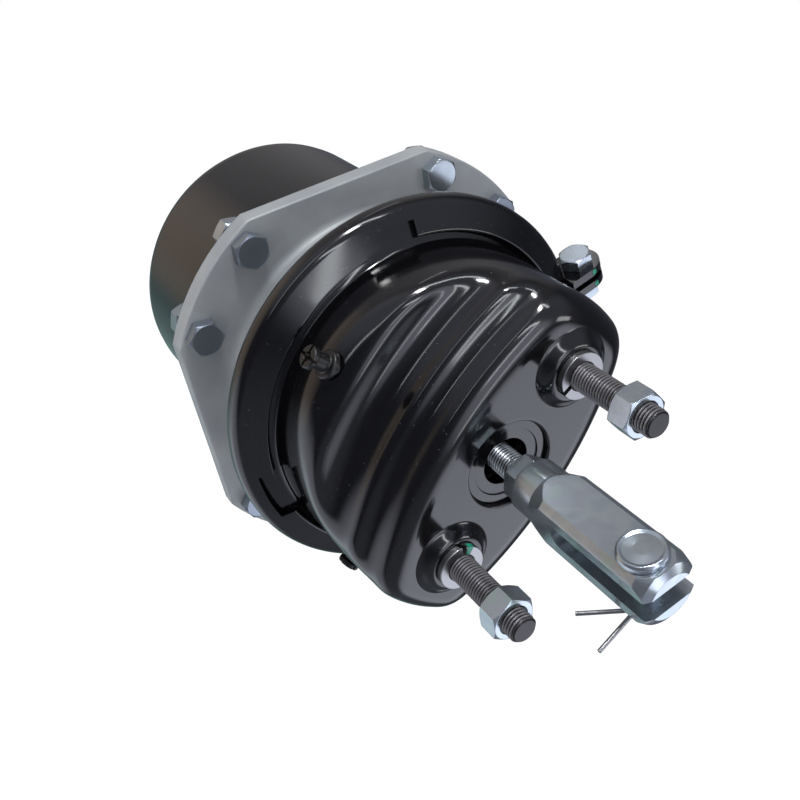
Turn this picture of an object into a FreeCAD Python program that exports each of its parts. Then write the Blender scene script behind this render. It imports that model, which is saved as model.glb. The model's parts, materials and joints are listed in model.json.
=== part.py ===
# Combined service and parking brake chamber.
# The part's own frame: +X along the pushrod, out of the mounting face; +Z up, along the line of the two studs.
# The origin is the middle of the mounting face, between the studs. Millimetres.
import FreeCAD, Part
import os
import re

import Sketcher

SIZES = {
    # mounting face and studs
    "stud_spacing": 120.65,
    "stud_radius": 8.0,
    "stud_reach": 58.6,
    "stud_head_radius": 13.0,
    "stud_head_thick": 4.0,
    "boss_height": 6.0,
    "boss_radius": 19.0,
    "boss_hollow_radius": 15.0,
    "nut_across_flats": 24.0,
    "nut_thick": 13.6,
    "nut_seat": 36.0,
    "lock_washer_radius": 13.7,
    "lock_washer_thick": 4.0,
    "lock_washer_gap": 3.0,
    # front housing, a deep-drawn shell
    "wall": 3.0,
    "drum_radius": 97.0,
    "nose_round": 14.0,
    "face_half_width": 46.0,
    "flank_depth": 54.5,
    "flank_arc": 210.0,
    "drum_end": 90.5,
    "valley_large_radius": 16.4,
    "valley_large_sink": 9.5,
    "valley_large_place": 0.56,
    "valley_small_radius": 8.0,
    "valley_small_sink": 5.0,
    "valley_small_place": 0.25,
    "recess_radius": 26.0,
    "recess_depth": 5.0,
    "recess_lip": 3.0,
    "guide_hole_radius": 14.0,
    "guide_plate_thick": 2.0,
    "guide_step_radius": 20.5,
    # clamped rim
    "rim_width": 16.0,
    "rim_slope": 0.5,
    "rim_half_gap": 5.0,
    "rim_tail": 4.0,
    "clamp_foot_gap": 5.0,
    "clamp_overhang": 6.5,
    "clamp_leg_thick": 3.7,
    "clamp_band_thick": 3.5,
    "clamp_gap": 0.15,
    "clamp_turn": 57.0,
    "clamp_bolt_offset": 13.5,
    "ear_radius": 14.5,
    "ear_thick": 5.0,
    "ear_gap": 4.0,
    "notch_angle": 18.0,
    "notch_inset": 8.5,
    "notch_reach": 6.0,
    "notch_turn": 82.0,
    # middle flange, an aluminium casting
    "flange_margin": 11.9,
    "flange_flat_inset": 2.1,
    "flange_turn": 1.5,
    "flange_thick": 12.0,
    "hub_length": 46.3,
    "hub_inset": 1.0,
    "hub_fillet": 9.0,
    "bowl_lip": 23.0,
    "bowl_draft": 18.0,
    "bowl_depth": 16.7,
    "pocket_inner": 34.0,
    "pocket_wall": 14.5,
    "pocket_depth": 25.8,
    "bolt_circle_margin": 22.1,
    "bolt_pair_angle": 13.4,
    "flange_bolt_radius": 6.0,
    "flange_bolt_flats": 19.0,
    "flange_bolt_head": 7.5,
    "flange_nut_thick": 10.0,
    "bolt_overrun": 4.0,
    "bolt_clearance": 0.5,
    "port_radius": 7.19,
    "port_depth": 15.0,
    "port_boss_radius": 13.0,
    "port_boss_stand": 8.0,
    "port_set": 16.8,
    "air_way_radius": 3.5,
    "oring_margin": 3.5,
    "oring_thick": 3.0,
    # rear cylinder
    "cylinder_step": 1.5,
    "cylinder_length": 148.2,
    "cylinder_wall": 3.5,
    "cylinder_round": 14.0,
    "cylinder_rim_thick": 5.0,
    "cylinder_rim_inset": 3.0,
    # parking piston and its rod
    "piston_set": 85.0,
    "piston_web": 8.0,
    "piston_skirt": 27.0,
    "piston_gap": 0.35,
    "piston_skirt_thick": 8.0,
    "ring_width": 6.0,
    "ring_depth": 3.0,
    "ring_land": 3.0,
    "ring_back_land": 2.0,
    "running_gap": 0.08,
    "rod_tube_radius": 18.0,
    "rod_tube_bore": 12.0,
    "rod_cap_radius": 22.0,
    "rod_cap_thick": 4.0,
    "rod_cap_gap": 4.0,
    "rod_cap_play": 1.0,
    "bush_radius": 24.0,
    "seal_width": 5.0,
    # release bolt
    "release_bolt_radius": 8.0,
    "release_ring_radius": 11.5,
    "release_ring_thick": 7.0,
    "release_nut_flats": 30.0,
    "release_nut_thick": 11.0,
    "release_washer_thick": 2.0,
    "release_washer_inset": 1.0,
    "release_head_thick": 10.0,
    # service side
    "diaphragm_thick": 4.0,
    "bead_inset": 1.0,
    "bead_width": 12.0,
    "soft_gap": 0.1,
    "plate_inset": 4.0,
    "plate_edge": 2.0,
    "plate_thick": 6.0,
    "plate_hub_radius": 14.0,
    "plate_hub_length": 8.0,
    "pushrod_radius": 8.0,
    "stroke": 60.0,
    "return_wire_radius": 2.6,
    "return_radius": 37.0,
    "return_turns": 6.0,
    "spring_gap": 0.3,
    "power_wire_radius": 5.5,
    "power_radius": 62.0,
    "power_turns": 3.5,
    # clevis
    "lock_nut_seat": 4.0,
    "lock_nut_thick": 10.0,
    "lock_nut_turn": 15.0,
    "collar_radius": 15.5,
    "collar_length": 15.0,
    "collar_edge": 1.5,
    "yoke_neck": 7.0,
    "yoke_end": 112.5,
    "yoke_nose": 8.0,
    "yoke_nose_edge": 2.5,
    "yoke_nose_drop": 7.0,
    "yoke_width": 30.0,
    "yoke_height": 32.0,
    "yoke_corner_radius": 19.6,
    "yoke_slot": 13.0,
    "yoke_slot_root": 46.0,
    "yoke_turn": 53.0,
    "pin_radius": 7.0,
    "pin_seat": 96.0,
    "pin_head_radius": 12.2,
    "pin_head_thick": 4.0,
    "pin_tail": 6.5,
    "cotter_radius": 1.6,
    "cotter_offset": 2.6,
    "cotter_stand": 2.0,
    "cotter_leg": 28.0,
    # breathers
    "vent_plane": 61.0,
    "vent_stem_radius": 5.0,
    "vent_flange_radius": 8.0,
    "vent_reach": 14.5,
    "vent_turn": 354.0,
    "rear_vent_offset": 66.0,
}

# Sizes that follow from others, so that the pieces keep their fits and clearances when one of them changes.
FOLLOWING = {
    "rim_radius": "drum_radius + rim_width",
    "clamp_plane": "drum_end + rim_slope * rim_width + rim_half_gap",
    "clamp_inner_radius": "drum_radius + clamp_foot_gap",
    "clamp_radius": "rim_radius + clamp_overhang",
    "notch_radius": "clamp_radius - notch_inset",
    "hub_radius": "drum_radius - hub_inset",
    "bowl_radius": "rim_radius - bowl_lip",
    "bowl_floor_radius": "bowl_radius - bowl_draft",
    "plate_radius": "bowl_floor_radius - plate_inset",
    "cylinder_radius": "drum_radius + cylinder_step",
    "pocket_outer": "cylinder_radius - pocket_wall",
    "oring_radius": "cylinder_radius + oring_margin",
    "bolt_circle_radius": "cylinder_radius + bolt_circle_margin",
    "flange_radius": "bolt_circle_radius + flange_margin",
    "flange_flat": "bolt_circle_radius - flange_flat_inset",
    "port_boss_reach": "hub_radius + port_boss_stand",
    "flange_front": "clamp_plane + hub_length",
    "port_plane": "flange_front - port_set",
    "cylinder_end": "flange_front + flange_thick + cylinder_length",
    "piston_face": "cylinder_end - piston_set",
}

doc = FreeCAD.newDocument("brake_chamber")
sheet = doc.addObject("Spreadsheet::Sheet", "Sheet")
for row, (alias, value) in enumerate(SIZES.items(), start=1):
    sheet.set("A%d" % row, alias)
    sheet.set("B%d" % row, str(value))
    sheet.setAlias("B%d" % row, alias)
doc.recompute()

NODES = {}


def formula(text):
    """Turn size names in a formula into references to the sheet's cells."""
    def replaced(word):
        if word[0] in FOLLOWING:
            return "(%s)" % formula(FOLLOWING[word[0]])
        return "Sheet." + word[0] if word[0] in SIZES else word[0]
    return re.sub(r"[a-z][a-z_0-9]*", replaced, str(text))


def bind(item, **formulas):
    """Bind properties of an object to formulas; two underscores in a name stand for a dot."""
    for name, text in formulas.items():
        item.setExpression(name.replace("__", "."), formula(text))


def keep(label, item):
    """Name a finished sub-part, which is written to its own file."""
    item.Label = label
    NODES[label] = item
    return item


def plane(body, role):
    """A body's own origin plane, found by its role."""
    return next(item for item in body.Origin.OriginFeatures if item.Role == role)


def outline(body, role, points):
    """A closed outline in a body's plane, each corner held by two bound distances from the origin."""
    sketch = body.newObject("Sketcher::SketchObject", "Outline")
    sketch.AttachmentSupport = [(plane(body, role), "")]
    sketch.MapMode = "FlatFace"
    start = [FreeCAD.Vector(10.0 * index, 5.0 * (index % 3), 0) for index in range(len(points))]
    for index in range(len(points)):
        sketch.addGeometry(Part.LineSegment(start[index], start[(index + 1) % len(points)]), False)
    for index in range(len(points)):
        sketch.addConstraint(Sketcher.Constraint("Coincident", index, 2, (index + 1) % len(points), 1))
    for index, corner in enumerate(points):
        for kind, axis, text in (("DistanceX", -2, corner[0]), ("DistanceY", -1, corner[1])):
            if text == "0":
                sketch.addConstraint(Sketcher.Constraint("PointOnObject", index, 1, axis))
            else:
                number = sketch.addConstraint(Sketcher.Constraint(kind, -1, 1, index, 1, 1.0 + index))
                sketch.setExpression("Constraints[%d]" % number, formula(text))
    return sketch


def turned(name, points):
    """A solid of revolution about X from corners given as (x, radius)."""
    body = doc.addObject("PartDesign::Body", name)
    sketch = outline(body, "XY_Plane", points)
    feature = body.newObject("PartDesign::Revolution", "Turn")
    feature.Profile = sketch
    feature.ReferenceAxis = (sketch, ["H_Axis"])
    feature.Angle = 360.0
    body.Tip = feature
    doc.recompute()
    return body


def round_rim(body, radius, end):
    """Round the outermost circular edge at a turned body's front end (max) or back end (min)."""
    base = body.Tip
    circles = [("Edge%d" % place, edge.Curve) for place, edge in enumerate(base.Shape.Edges, start=1)
               if isinstance(edge.Curve, Part.Circle)]
    x = end(curve.Center.x for name, curve in circles)
    at_end = [(curve.Radius, name) for name, curve in circles if abs(curve.Center.x - x) < 0.01]
    feature = body.newObject("PartDesign::Fillet", "Round")
    feature.Base = (base, [max(at_end)[1]])
    bind(feature, Radius=radius)
    body.Tip = feature
    doc.recompute()
    return body


def cylinder(name, radius, length, x="0", y="0", z="0", along="X", angle="360"):
    """A cylinder along X, Y or Z from a point, sized and placed by formulas."""
    item = doc.addObject("Part::Cylinder", name)
    turns = {"X": ((0, 1, 0), 90), "Y": ((1, 0, 0), -90), "Z": ((0, 0, 1), 0)}
    axis, degrees = turns[along]
    item.Placement = FreeCAD.Placement(FreeCAD.Vector(), FreeCAD.Rotation(FreeCAD.Vector(*axis), degrees))
    bind(item, Radius=radius, Height=length, Angle=angle)
    bind(item, Placement__Base__x=x, Placement__Base__y=y, Placement__Base__z=z)
    return item


def hexagon(name, across_flats, length, x="0", y="0", z="0", along="X"):
    """A hexagonal prism along X, Y or Z from a point."""
    item = doc.addObject("Part::Prism", name)
    item.Polygon = 6
    turns = {"X": ((0, 1, 0), 90), "Y": ((1, 0, 0), -90), "Z": ((0, 0, 1), 0)}
    axis, degrees = turns[along]
    item.Placement = FreeCAD.Placement(FreeCAD.Vector(), FreeCAD.Rotation(FreeCAD.Vector(*axis), degrees))
    bind(item, Circumradius="(%s) / sqrt(3)" % across_flats, Height=length)
    bind(item, Placement__Base__x=x, Placement__Base__y=y, Placement__Base__z=z)
    return item


def block(name, size, corner):
    """A box from its lowest corner, sized and placed by formulas."""
    item = doc.addObject("Part::Box", name)
    bind(item, Length=size[0], Width=size[1], Height=size[2])
    bind(item, Placement__Base__x=corner[0], Placement__Base__y=corner[1], Placement__Base__z=corner[2])
    return item


def fuse(name, items):
    item = doc.addObject("Part::MultiFuse", name)
    item.Shapes = items
    item.Refine = True
    return item


def common(name, items):
    item = doc.addObject("Part::MultiCommon", name)
    item.Shapes = items
    return item


def cut(name, base, tools):
    item = doc.addObject("Part::Cut", name)
    item.Base = base
    item.Tool = tools[0] if len(tools) == 1 else fuse(name + "_tools", tools)
    return item


def group(label, items):
    """Separate solids that share one node."""
    item = doc.addObject("Part::Compound", label)
    item.Links = items
    return keep(label, item)


def turned_about_x(item, degrees):
    """Turn a finished piece about the chamber's axis."""
    item.Placement = FreeCAD.Placement(FreeCAD.Vector(), FreeCAD.Rotation(FreeCAD.Vector(1, 0, 0), 1))
    bind(item, Placement__Rotation__Angle=degrees)
    return item


# Front housing: a drum and nose turned about X, cut to two sloping flanks with long valleys pressed into them.
FACE = "-boss_height"
INNER_FACE = "-boss_height - wall"
RIM_FRONT = "-drum_end - rim_slope * (rim_radius - drum_radius)"
RIM_INNER = "(%s - wall * sqrt(1 + rim_slope * rim_slope))" % RIM_FRONT
FLANK_RISE = "((drum_radius - face_half_width) / flank_depth)"


def housing_form(name, inset, tail):
    """The shell's outer form, or its inner one when the wall is taken off."""
    back = "(%s - %s)" % (RIM_FRONT, "0" if inset == "0" else "wall * sqrt(1 + rim_slope * rim_slope)")
    shift = "0" if inset == "0" else "wall * sqrt(1 + rim_slope * rim_slope)"
    drum = "drum_radius - %s" % inset
    points = [
        ("%s - %s" % (FACE, inset), "0"),
        ("%s - %s" % (FACE, inset), drum),
        ("-drum_end - %s + rim_slope * %s" % (shift, inset), drum),
        (back, "rim_radius"),
    ]
    if inset == "0":
        points += [(RIM_INNER, "rim_radius"), (RIM_INNER, "0")]
    else:
        points += [("%s - rim_slope * %s" % (back, tail), "rim_radius + %s" % tail),
                   ("%s - rim_slope * %s" % (back, tail), "0")]
    turned_form = turned(name + "_turned", points)
    round_rim(turned_form, "nose_round - %s" % inset, max)

    # each flank is turned about a far axis, so it bulges in the middle and draws in towards both studs
    slant = "sqrt(1 + %s * %s)" % (FLANK_RISE, FLANK_RISE)
    low = "flank_arc - %s * %s" % (inset, slant)
    front_step = "2 * boss_height"
    back_step = "rim_radius"
    parts = [turned_form]
    for side in ("", "-"):
        far_axis = side + "(flank_arc - face_half_width)"
        flank = turned(name + "_flank", [
            ("%s + %s" % (FACE, front_step), "0"),
            ("%s + %s" % (FACE, front_step), "%s - %s * %s" % (low, FLANK_RISE, front_step)),
            ("%s - %s" % (FACE, back_step), "%s + %s * %s" % (low, FLANK_RISE, back_step)),
            ("%s - %s" % (FACE, back_step), "0"),
        ])
        bind(flank, Placement__Base__y=far_axis)
        # a valley is a ring groove in the flank, with its centre standing outside the surface
        grooves = []
        for size in ("large", "small"):
            place = "valley_%s_place * flank_depth" % size
            stand_off = "(valley_%s_radius - valley_%s_sink)" % (size, size)
            ring = doc.addObject("Part::Torus", name + "_groove")
            ring.Placement = FreeCAD.Placement(FreeCAD.Vector(), FreeCAD.Rotation(FreeCAD.Vector(0, 1, 0), 90))
            bind(ring, Radius1="flank_arc + %s * %s + %s / %s" % (FLANK_RISE, place, stand_off, slant),
                 Radius2="valley_%s_radius + %s" % (size, inset),
                 Placement__Base__x="%s - %s + %s * %s / %s" % (FACE, place, stand_off, FLANK_RISE, slant),
                 Placement__Base__y=far_axis)
            grooves.append(ring)
        parts.append(cut(name + "_grooved", flank, grooves))
    return common(name + "_form", parts)


housing_outer = housing_form("housing_outer", "0", "0")
housing_inner = housing_form("housing_inner", "wall", "rim_tail")
shell = cut("shell", housing_outer, [housing_inner])

additions = [
    cut("recess_cup",
        cylinder("recess_outside", "recess_radius + wall", "recess_depth + recess_lip",
                 "%s - recess_depth - recess_lip" % FACE),
        [cylinder("recess_inside", "recess_radius", "recess_depth", "%s - recess_depth" % FACE)]),
]
removals = [
    cylinder("recess_mouth", "recess_radius", "recess_depth", "%s - recess_depth" % FACE),
    cylinder("recess_throat", "guide_step_radius + wall", "3 * recess_depth", "%s - 3 * recess_depth" % FACE),
]
for side in ("", "-"):
    stud_place = side + "stud_spacing / 2"
    additions.append(cylinder("stud_boss", "boss_radius", "boss_height + wall", INNER_FACE, "0", stud_place))
    removals.append(cylinder("stud_hollow", "boss_hollow_radius", "boss_height", INNER_FACE, "0", stud_place))
    removals.append(cylinder("stud_hole", "stud_radius", "2 * boss_height", "-boss_height", "0", stud_place))
removals.append(cylinder("vent_hole_side", "vent_stem_radius", "drum_radius", "-vent_plane", "-drum_radius * 1.5",
                         "0", "Y"))
low_hole = cylinder("vent_hole_low", "vent_stem_radius", "drum_radius", "-vent_plane", "0", "-drum_radius * 1.5", "Z")
low_way = doc.addObject("Part::Compound", "low_vent_way")
low_way.Links = [low_hole]
removals.append(turned_about_x(low_way, "vent_turn"))
keep("front_housing", cut("front_housing", fuse("shell_with_bosses", [shell] + additions), removals))

# Guide plate: a stepped ring in the recess, round the pushrod.
plate_back = "(%s - recess_depth)" % FACE
keep("guide_plate", turned("guide_plate", [
    (plate_back, "guide_hole_radius"),
    (plate_back, "recess_radius - soft_gap"),
    (plate_back + " + guide_plate_thick", "recess_radius - soft_gap"),
    (plate_back + " + guide_plate_thick", "guide_step_radius"),
    (plate_back + " + guide_plate_thick / 2", "guide_step_radius"),
    (plate_back + " + guide_plate_thick / 2", "guide_hole_radius"),
]))

# Studs pressed in from inside, each with a split lock washer and a nut near its end.
studs = []
lock_washers = []
stud_nuts = []
for side in ("", "-"):
    place = side + "stud_spacing / 2"
    seat = "(-boss_height + wall)"
    studs.append(fuse("stud", [
        cylinder("stud_shank", "stud_radius", "stud_reach - %s" % seat, seat, "0", place),
        cylinder("stud_head", "stud_head_radius", "stud_head_thick", seat + " - stud_head_thick", "0", place),
    ]))
    lock_washers.append(cut("lock_washer", cylinder("washer_disc", "lock_washer_radius", "lock_washer_thick", "0",
                                                    "0", place), [
        cylinder("washer_hole", "stud_radius + soft_gap", "lock_washer_thick", "0", "0", place),
        block("washer_slit", ("lock_washer_thick", "2 * lock_washer_radius", "lock_washer_gap"),
              ("0", "0", place + " - lock_washer_gap / 2")),
    ]))
    stud_nuts.append(cut("stud_nut", hexagon("stud_nut_hexagon", "nut_across_flats", "nut_thick", "nut_seat", "0",
                                             place),
                         [cylinder("stud_nut_hole", "stud_radius", "nut_thick", "nut_seat", "0", place)]))
group("mounting_studs", studs)
group("stud_lock_washers", lock_washers)
group("stud_nuts", stud_nuts)

# Breather plugs: a rubber stem through the drum's wall, with a flange that follows the wall.
vents = []
for along, y, z in (("Y", "-drum_radius - vent_reach", "0"), ("Z", "0", "-drum_radius - vent_reach")):
    stem = cylinder("vent_stem", "vent_stem_radius - soft_gap", "vent_reach + 2 * wall", "-vent_plane", y, z, along)
    flat = "-drum_radius - wall"
    collar = cut("vent_collar", cylinder("vent_collar_disc", "vent_flange_radius", "2 * wall", "-vent_plane",
                                         flat if along == "Y" else "0", flat if along == "Z" else "0", along),
                 [cylinder("vent_wall", "drum_radius", "drum_radius", "-vent_plane - drum_radius / 2")])
    rim = cylinder("vent_rim", "vent_stem_radius + wall / 2", "wall", "-vent_plane", y, z, along)
    vents.append(fuse("vent", [stem, collar, rim]))
turned_about_x(vents[1], "vent_turn")
group("breather_plugs", vents)

# Clamp ring: a V section rolled round the rims, notched in its front leg and drawn together at two ears.
LEG = "(-drum_end - rim_slope * (%s - drum_radius) + clamp_gap)"
leg_inner_low = LEG % "clamp_inner_radius"
leg_inner_high = LEG % "(clamp_radius - clamp_band_thick)"
leg_outer_low = "(%s + clamp_leg_thick)" % leg_inner_low
leg_outer_high = "(%s + clamp_leg_thick)" % (LEG % "clamp_radius")
band_low = "clamp_radius - clamp_band_thick"
clamp_ring = turned("clamp_ring", [
    (leg_inner_low, "clamp_inner_radius"),
    (leg_outer_low, "clamp_inner_radius"),
    (leg_outer_high, "clamp_radius"),
    ("-2 * clamp_plane - %s" % leg_outer_high, "clamp_radius"),
    ("-2 * clamp_plane - %s" % leg_outer_low, "clamp_inner_radius"),
    ("-2 * clamp_plane - %s" % leg_inner_low, "clamp_inner_radius"),
    ("-2 * clamp_plane - %s" % leg_inner_high, band_low),
    (leg_inner_high, band_low),
])
bolt_line = "(clamp_radius + clamp_bolt_offset)"
ears = []
for side in ("", "-"):
    low = "ear_gap / 2" if side == "" else "-ear_gap / 2 - ear_thick"
    ears.append(cylinder("ear_end", "ear_radius", "ear_thick", "-clamp_plane", bolt_line, low, "Z"))
    ears.append(block("ear_root", ("2 * ear_radius", "clamp_bolt_offset + clamp_band_thick / 2", "ear_thick"),
                      ("-clamp_plane - ear_radius", "clamp_radius - clamp_band_thick / 2", low)))
clamp_cuts = [
    block("clamp_split", ("6 * clamp_band_thick + 4 * ear_radius", "3 * ear_radius", "ear_gap"),
          ("-clamp_plane - 3 * clamp_band_thick - 2 * ear_radius", "clamp_inner_radius - ear_radius",
           "-ear_gap / 2")),
    cylinder("clamp_bolt_hole", "flange_bolt_radius + bolt_clearance", "4 * ear_thick", "-clamp_plane", bolt_line,
             "-2 * ear_thick", "Z"),
]
for turn in ("notch_turn", "180", "-notch_turn"):
    notch = cut("notch", cylinder("notch_sector", "notch_radius", "2 * clamp_leg_thick + notch_reach", leg_inner_high, "0", "0",
                                  "X", "notch_angle"),
                [cylinder("notch_core", "clamp_inner_radius - 2 * clamp_leg_thick", "2 * clamp_leg_thick + notch_reach",
                          leg_inner_high)])
    # a sector starts at -Z and grows towards +Y, so it is turned to stand about its middle
    turned_about_x(notch, "%s + 90 - notch_angle / 2" % turn)
    clamp_cuts.append(notch)
clamp_band = cut("clamp_band", fuse("clamp_with_ears", [clamp_ring] + ears), clamp_cuts)
keep("clamp_band", turned_about_x(clamp_band, "clamp_turn"))

ear_top = "(ear_gap / 2 + ear_thick)"
clamp_bolt = fuse("clamp_bolt", [
    hexagon("clamp_bolt_head", "flange_bolt_flats", "flange_bolt_head", "-clamp_plane", bolt_line, ear_top, "Z"),
    cylinder("clamp_bolt_shank", "flange_bolt_radius", "2 * %s + flange_nut_thick + bolt_overrun" % ear_top,
             "-clamp_plane", bolt_line, "-%s - flange_nut_thick - bolt_overrun" % ear_top, "Z"),
])
keep("clamp_bolt", turned_about_x(clamp_bolt, "clamp_turn"))
clamp_nut = cut("clamp_nut", hexagon("clamp_nut_hexagon", "flange_bolt_flats", "flange_nut_thick", "-clamp_plane",
                                     bolt_line, "-%s - flange_nut_thick" % ear_top, "Z"),
                [cylinder("clamp_nut_hole", "flange_bolt_radius", "flange_nut_thick", "-clamp_plane", bolt_line,
                          "-%s - flange_nut_thick" % ear_top, "Z")])
keep("clamp_nut", turned_about_x(clamp_nut, "clamp_turn"))


# Middle flange: a square plate with round corners, a hub towards the clamp, a bowl in front and a pocket behind.
def square_plate(name, radius, flat, thick, x):
    """A round plate with four flats, set halfway between the axes."""
    square = doc.addObject("Part::Box", name + "_square")
    bind(square, Length=thick, Width="2 * (%s)" % flat, Height="2 * (%s)" % flat)
    square.Placement = FreeCAD.Placement(FreeCAD.Vector(), FreeCAD.Rotation(FreeCAD.Vector(1, 0, 0), 45))
    # the box turns about its own corner, so the corner is set back from the axis by the turned half diagonal
    bind(square, Placement__Rotation__Angle="45 + flange_turn", Placement__Base__x=x,
         Placement__Base__y="(%s) * (sin((45 + flange_turn) * 1 deg) - cos((45 + flange_turn) * 1 deg))" % flat,
         Placement__Base__z="-(%s) * (sin((45 + flange_turn) * 1 deg) + cos((45 + flange_turn) * 1 deg))" % flat)
    return common(name, [cylinder(name + "_round", radius, thick, x), square])


FLANGE_BACK = "(-flange_front - flange_thick)"
MIRROR = "-2 * clamp_plane + drum_end"
hub_front = "(-2 * clamp_plane - (%s) + 2 * wall)" % RIM_FRONT
bowl_floor = "(%s - bowl_depth)" % hub_front
hub = turned("hub", [
    (FLANGE_BACK, "0"),
    (FLANGE_BACK, "hub_radius"),
    ("-flange_front", "hub_radius + hub_fillet"),
    ("-flange_front + 0.14 * hub_fillet", "hub_radius + 0.5 * hub_fillet"),
    ("-flange_front + 0.5 * hub_fillet", "hub_radius + 0.14 * hub_fillet"),
    ("-flange_front + hub_fillet", "hub_radius"),
    ("%s - rim_slope * (drum_radius - hub_radius)" % MIRROR, "hub_radius"),
    ("-2 * clamp_plane - (%s)" % RIM_FRONT, "rim_radius"),
    (hub_front, "rim_radius"),
    (hub_front, "bowl_radius"),
    (bowl_floor, "bowl_floor_radius"),
    (bowl_floor, "rod_cap_radius + rod_cap_gap"),
    (bowl_floor + " - rod_cap_thick - rod_cap_play", "rod_cap_radius + rod_cap_gap"),
    (bowl_floor + " - rod_cap_thick - rod_cap_play", "0"),
])
pocket = cut("pocket", cylinder("pocket_round", "pocket_outer", "pocket_depth", FLANGE_BACK),
             [cylinder("pocket_core", "pocket_inner", "pocket_depth", FLANGE_BACK)])
oring_groove = cut("oring_groove", cylinder("groove_round", "oring_radius + oring_thick * 0.6", "oring_thick",
                                            FLANGE_BACK),
                   [cylinder("groove_core", "oring_radius - oring_thick * 0.6", "oring_thick", FLANGE_BACK)])
flange_cuts = [pocket, oring_groove, cylinder("bush_bore", "bush_radius", "2 * flange_front", "-2 * flange_front")]
PAIRS = [(corner, side) for corner in (0, 90, 180, 270) for side in ("", "-")]


def on_bolt_circle(corner, side):
    """The place of one flange bolt, as formulas for y and z."""
    angle = "(%d deg + (%sbolt_pair_angle + flange_turn) * 1 deg)" % (corner, side)
    return "bolt_circle_radius * cos%s" % angle, "bolt_circle_radius * sin%s" % angle


for corner, side in PAIRS:
    y, z = on_bolt_circle(corner, side)
    flange_cuts.append(cylinder("bolt_hole", "flange_bolt_radius + bolt_clearance", "flange_thick", FLANGE_BACK, y, z))
flange_cuts += [
    cylinder("service_port_hole", "port_radius", "port_depth", "-port_plane", "port_boss_reach - port_depth", "0", "Y"),
    cylinder("parking_port_hole", "port_radius", "port_depth", "-port_plane", "0", "-port_boss_reach", "Z"),
    cylinder("service_air_way", "air_way_radius", "port_plane - clamp_plane", "-port_plane",
             "port_boss_reach - port_depth", "0"),
    cylinder("parking_air_way", "air_way_radius", "pocket_outer", "-port_plane - port_radius / 2", "0",
             "-port_boss_reach + port_depth / 2", "Z"),
]
ports = [
    cylinder("service_port_boss", "port_boss_radius", "port_boss_reach - pocket_outer", "-port_plane",
             "pocket_outer", "0", "Y"),
    cylinder("parking_port_boss", "port_boss_radius", "port_boss_reach - pocket_outer", "-port_plane", "0",
             "-port_boss_reach", "Z"),
]
flange_plate = square_plate("flange_plate", "flange_radius", "flange_flat", "flange_thick", FLANGE_BACK)
keep("middle_flange", cut("middle_flange", fuse("flange_casting", [flange_plate, hub] + ports), flange_cuts))

oring = doc.addObject("Part::Torus", "flange_oring")
oring.Placement = FreeCAD.Placement(FreeCAD.Vector(), FreeCAD.Rotation(FreeCAD.Vector(0, 1, 0), 90))
bind(oring, Radius1="oring_radius", Radius2="oring_thick / 2", Placement__Base__x=FLANGE_BACK + " + oring_thick / 2")
keep("flange_oring", oring)

# Flange bolts with their heads in front and nuts behind, in pairs at the four corners.
RIM_BACK = "(%s - cylinder_rim_thick)" % FLANGE_BACK
flange_bolts = []
flange_nuts = []
for corner, side in PAIRS:
    y, z = on_bolt_circle(corner, side)
    flange_bolts.append(fuse("flange_bolt", [
        hexagon("flange_bolt_hexagon", "flange_bolt_flats", "flange_bolt_head", "-flange_front", y, z),
        cylinder("flange_bolt_shank", "flange_bolt_radius",
                 "flange_thick + cylinder_rim_thick + flange_nut_thick + bolt_overrun",
                 RIM_BACK + " - flange_nut_thick - bolt_overrun", y, z),
    ]))
    flange_nuts.append(cut("flange_nut", hexagon("flange_nut_hexagon", "flange_bolt_flats", "flange_nut_thick",
                                                 RIM_BACK + " - flange_nut_thick", y, z),
                           [cylinder("flange_nut_hole", "flange_bolt_radius", "flange_nut_thick",
                                     RIM_BACK + " - flange_nut_thick", y, z)]))
group("flange_bolts", flange_bolts)
group("flange_nuts", flange_nuts)

# Rear cylinder: a steel cup with a bolted rim and a rounded end.
cup_outer = turned("cup_outer", [(FLANGE_BACK, "0"), (FLANGE_BACK, "cylinder_radius"),
                                 ("-cylinder_end", "cylinder_radius"), ("-cylinder_end", "0")])
round_rim(cup_outer, "cylinder_round", min)
INNER_END = "(-cylinder_end + cylinder_wall)"
cup_inner = turned("cup_inner", [(FLANGE_BACK, "0"), (FLANGE_BACK, "cylinder_radius - cylinder_wall"),
                                 (INNER_END, "cylinder_radius - cylinder_wall"), (INNER_END, "0")])
round_rim(cup_inner, "cylinder_round - cylinder_wall", min)
rim_plate = square_plate("rim_plate", "flange_radius - cylinder_rim_inset", "flange_flat - cylinder_rim_inset",
                         "cylinder_rim_thick", RIM_BACK)
cup_cuts = [
    cup_inner,
    cylinder("release_hole", "release_bolt_radius + bolt_clearance", "cylinder_wall * 2", "-cylinder_end - cylinder_wall / 2"),
    cylinder("rear_vent_hole", "vent_stem_radius", "cylinder_wall * 2", "-cylinder_end - cylinder_wall / 2", "0",
             "rear_vent_offset"),
]
for corner, side in PAIRS:
    y, z = on_bolt_circle(corner, side)
    cup_cuts.append(cylinder("rim_hole", "flange_bolt_radius + bolt_clearance", "cylinder_rim_thick", RIM_BACK, y, z))
keep("rear_cylinder", cut("rear_cylinder", fuse("cup_with_rim", [cup_outer, rim_plate]), cup_cuts))

keep("rear_breather", fuse("rear_breather", [
    cylinder("rear_vent_stem", "vent_stem_radius - soft_gap", "cylinder_wall * 2", "-cylinder_end", "0",
             "rear_vent_offset"),
    cylinder("rear_vent_cap", "vent_flange_radius", "wall", "-cylinder_end - wall", "0", "rear_vent_offset"),
]))

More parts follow.
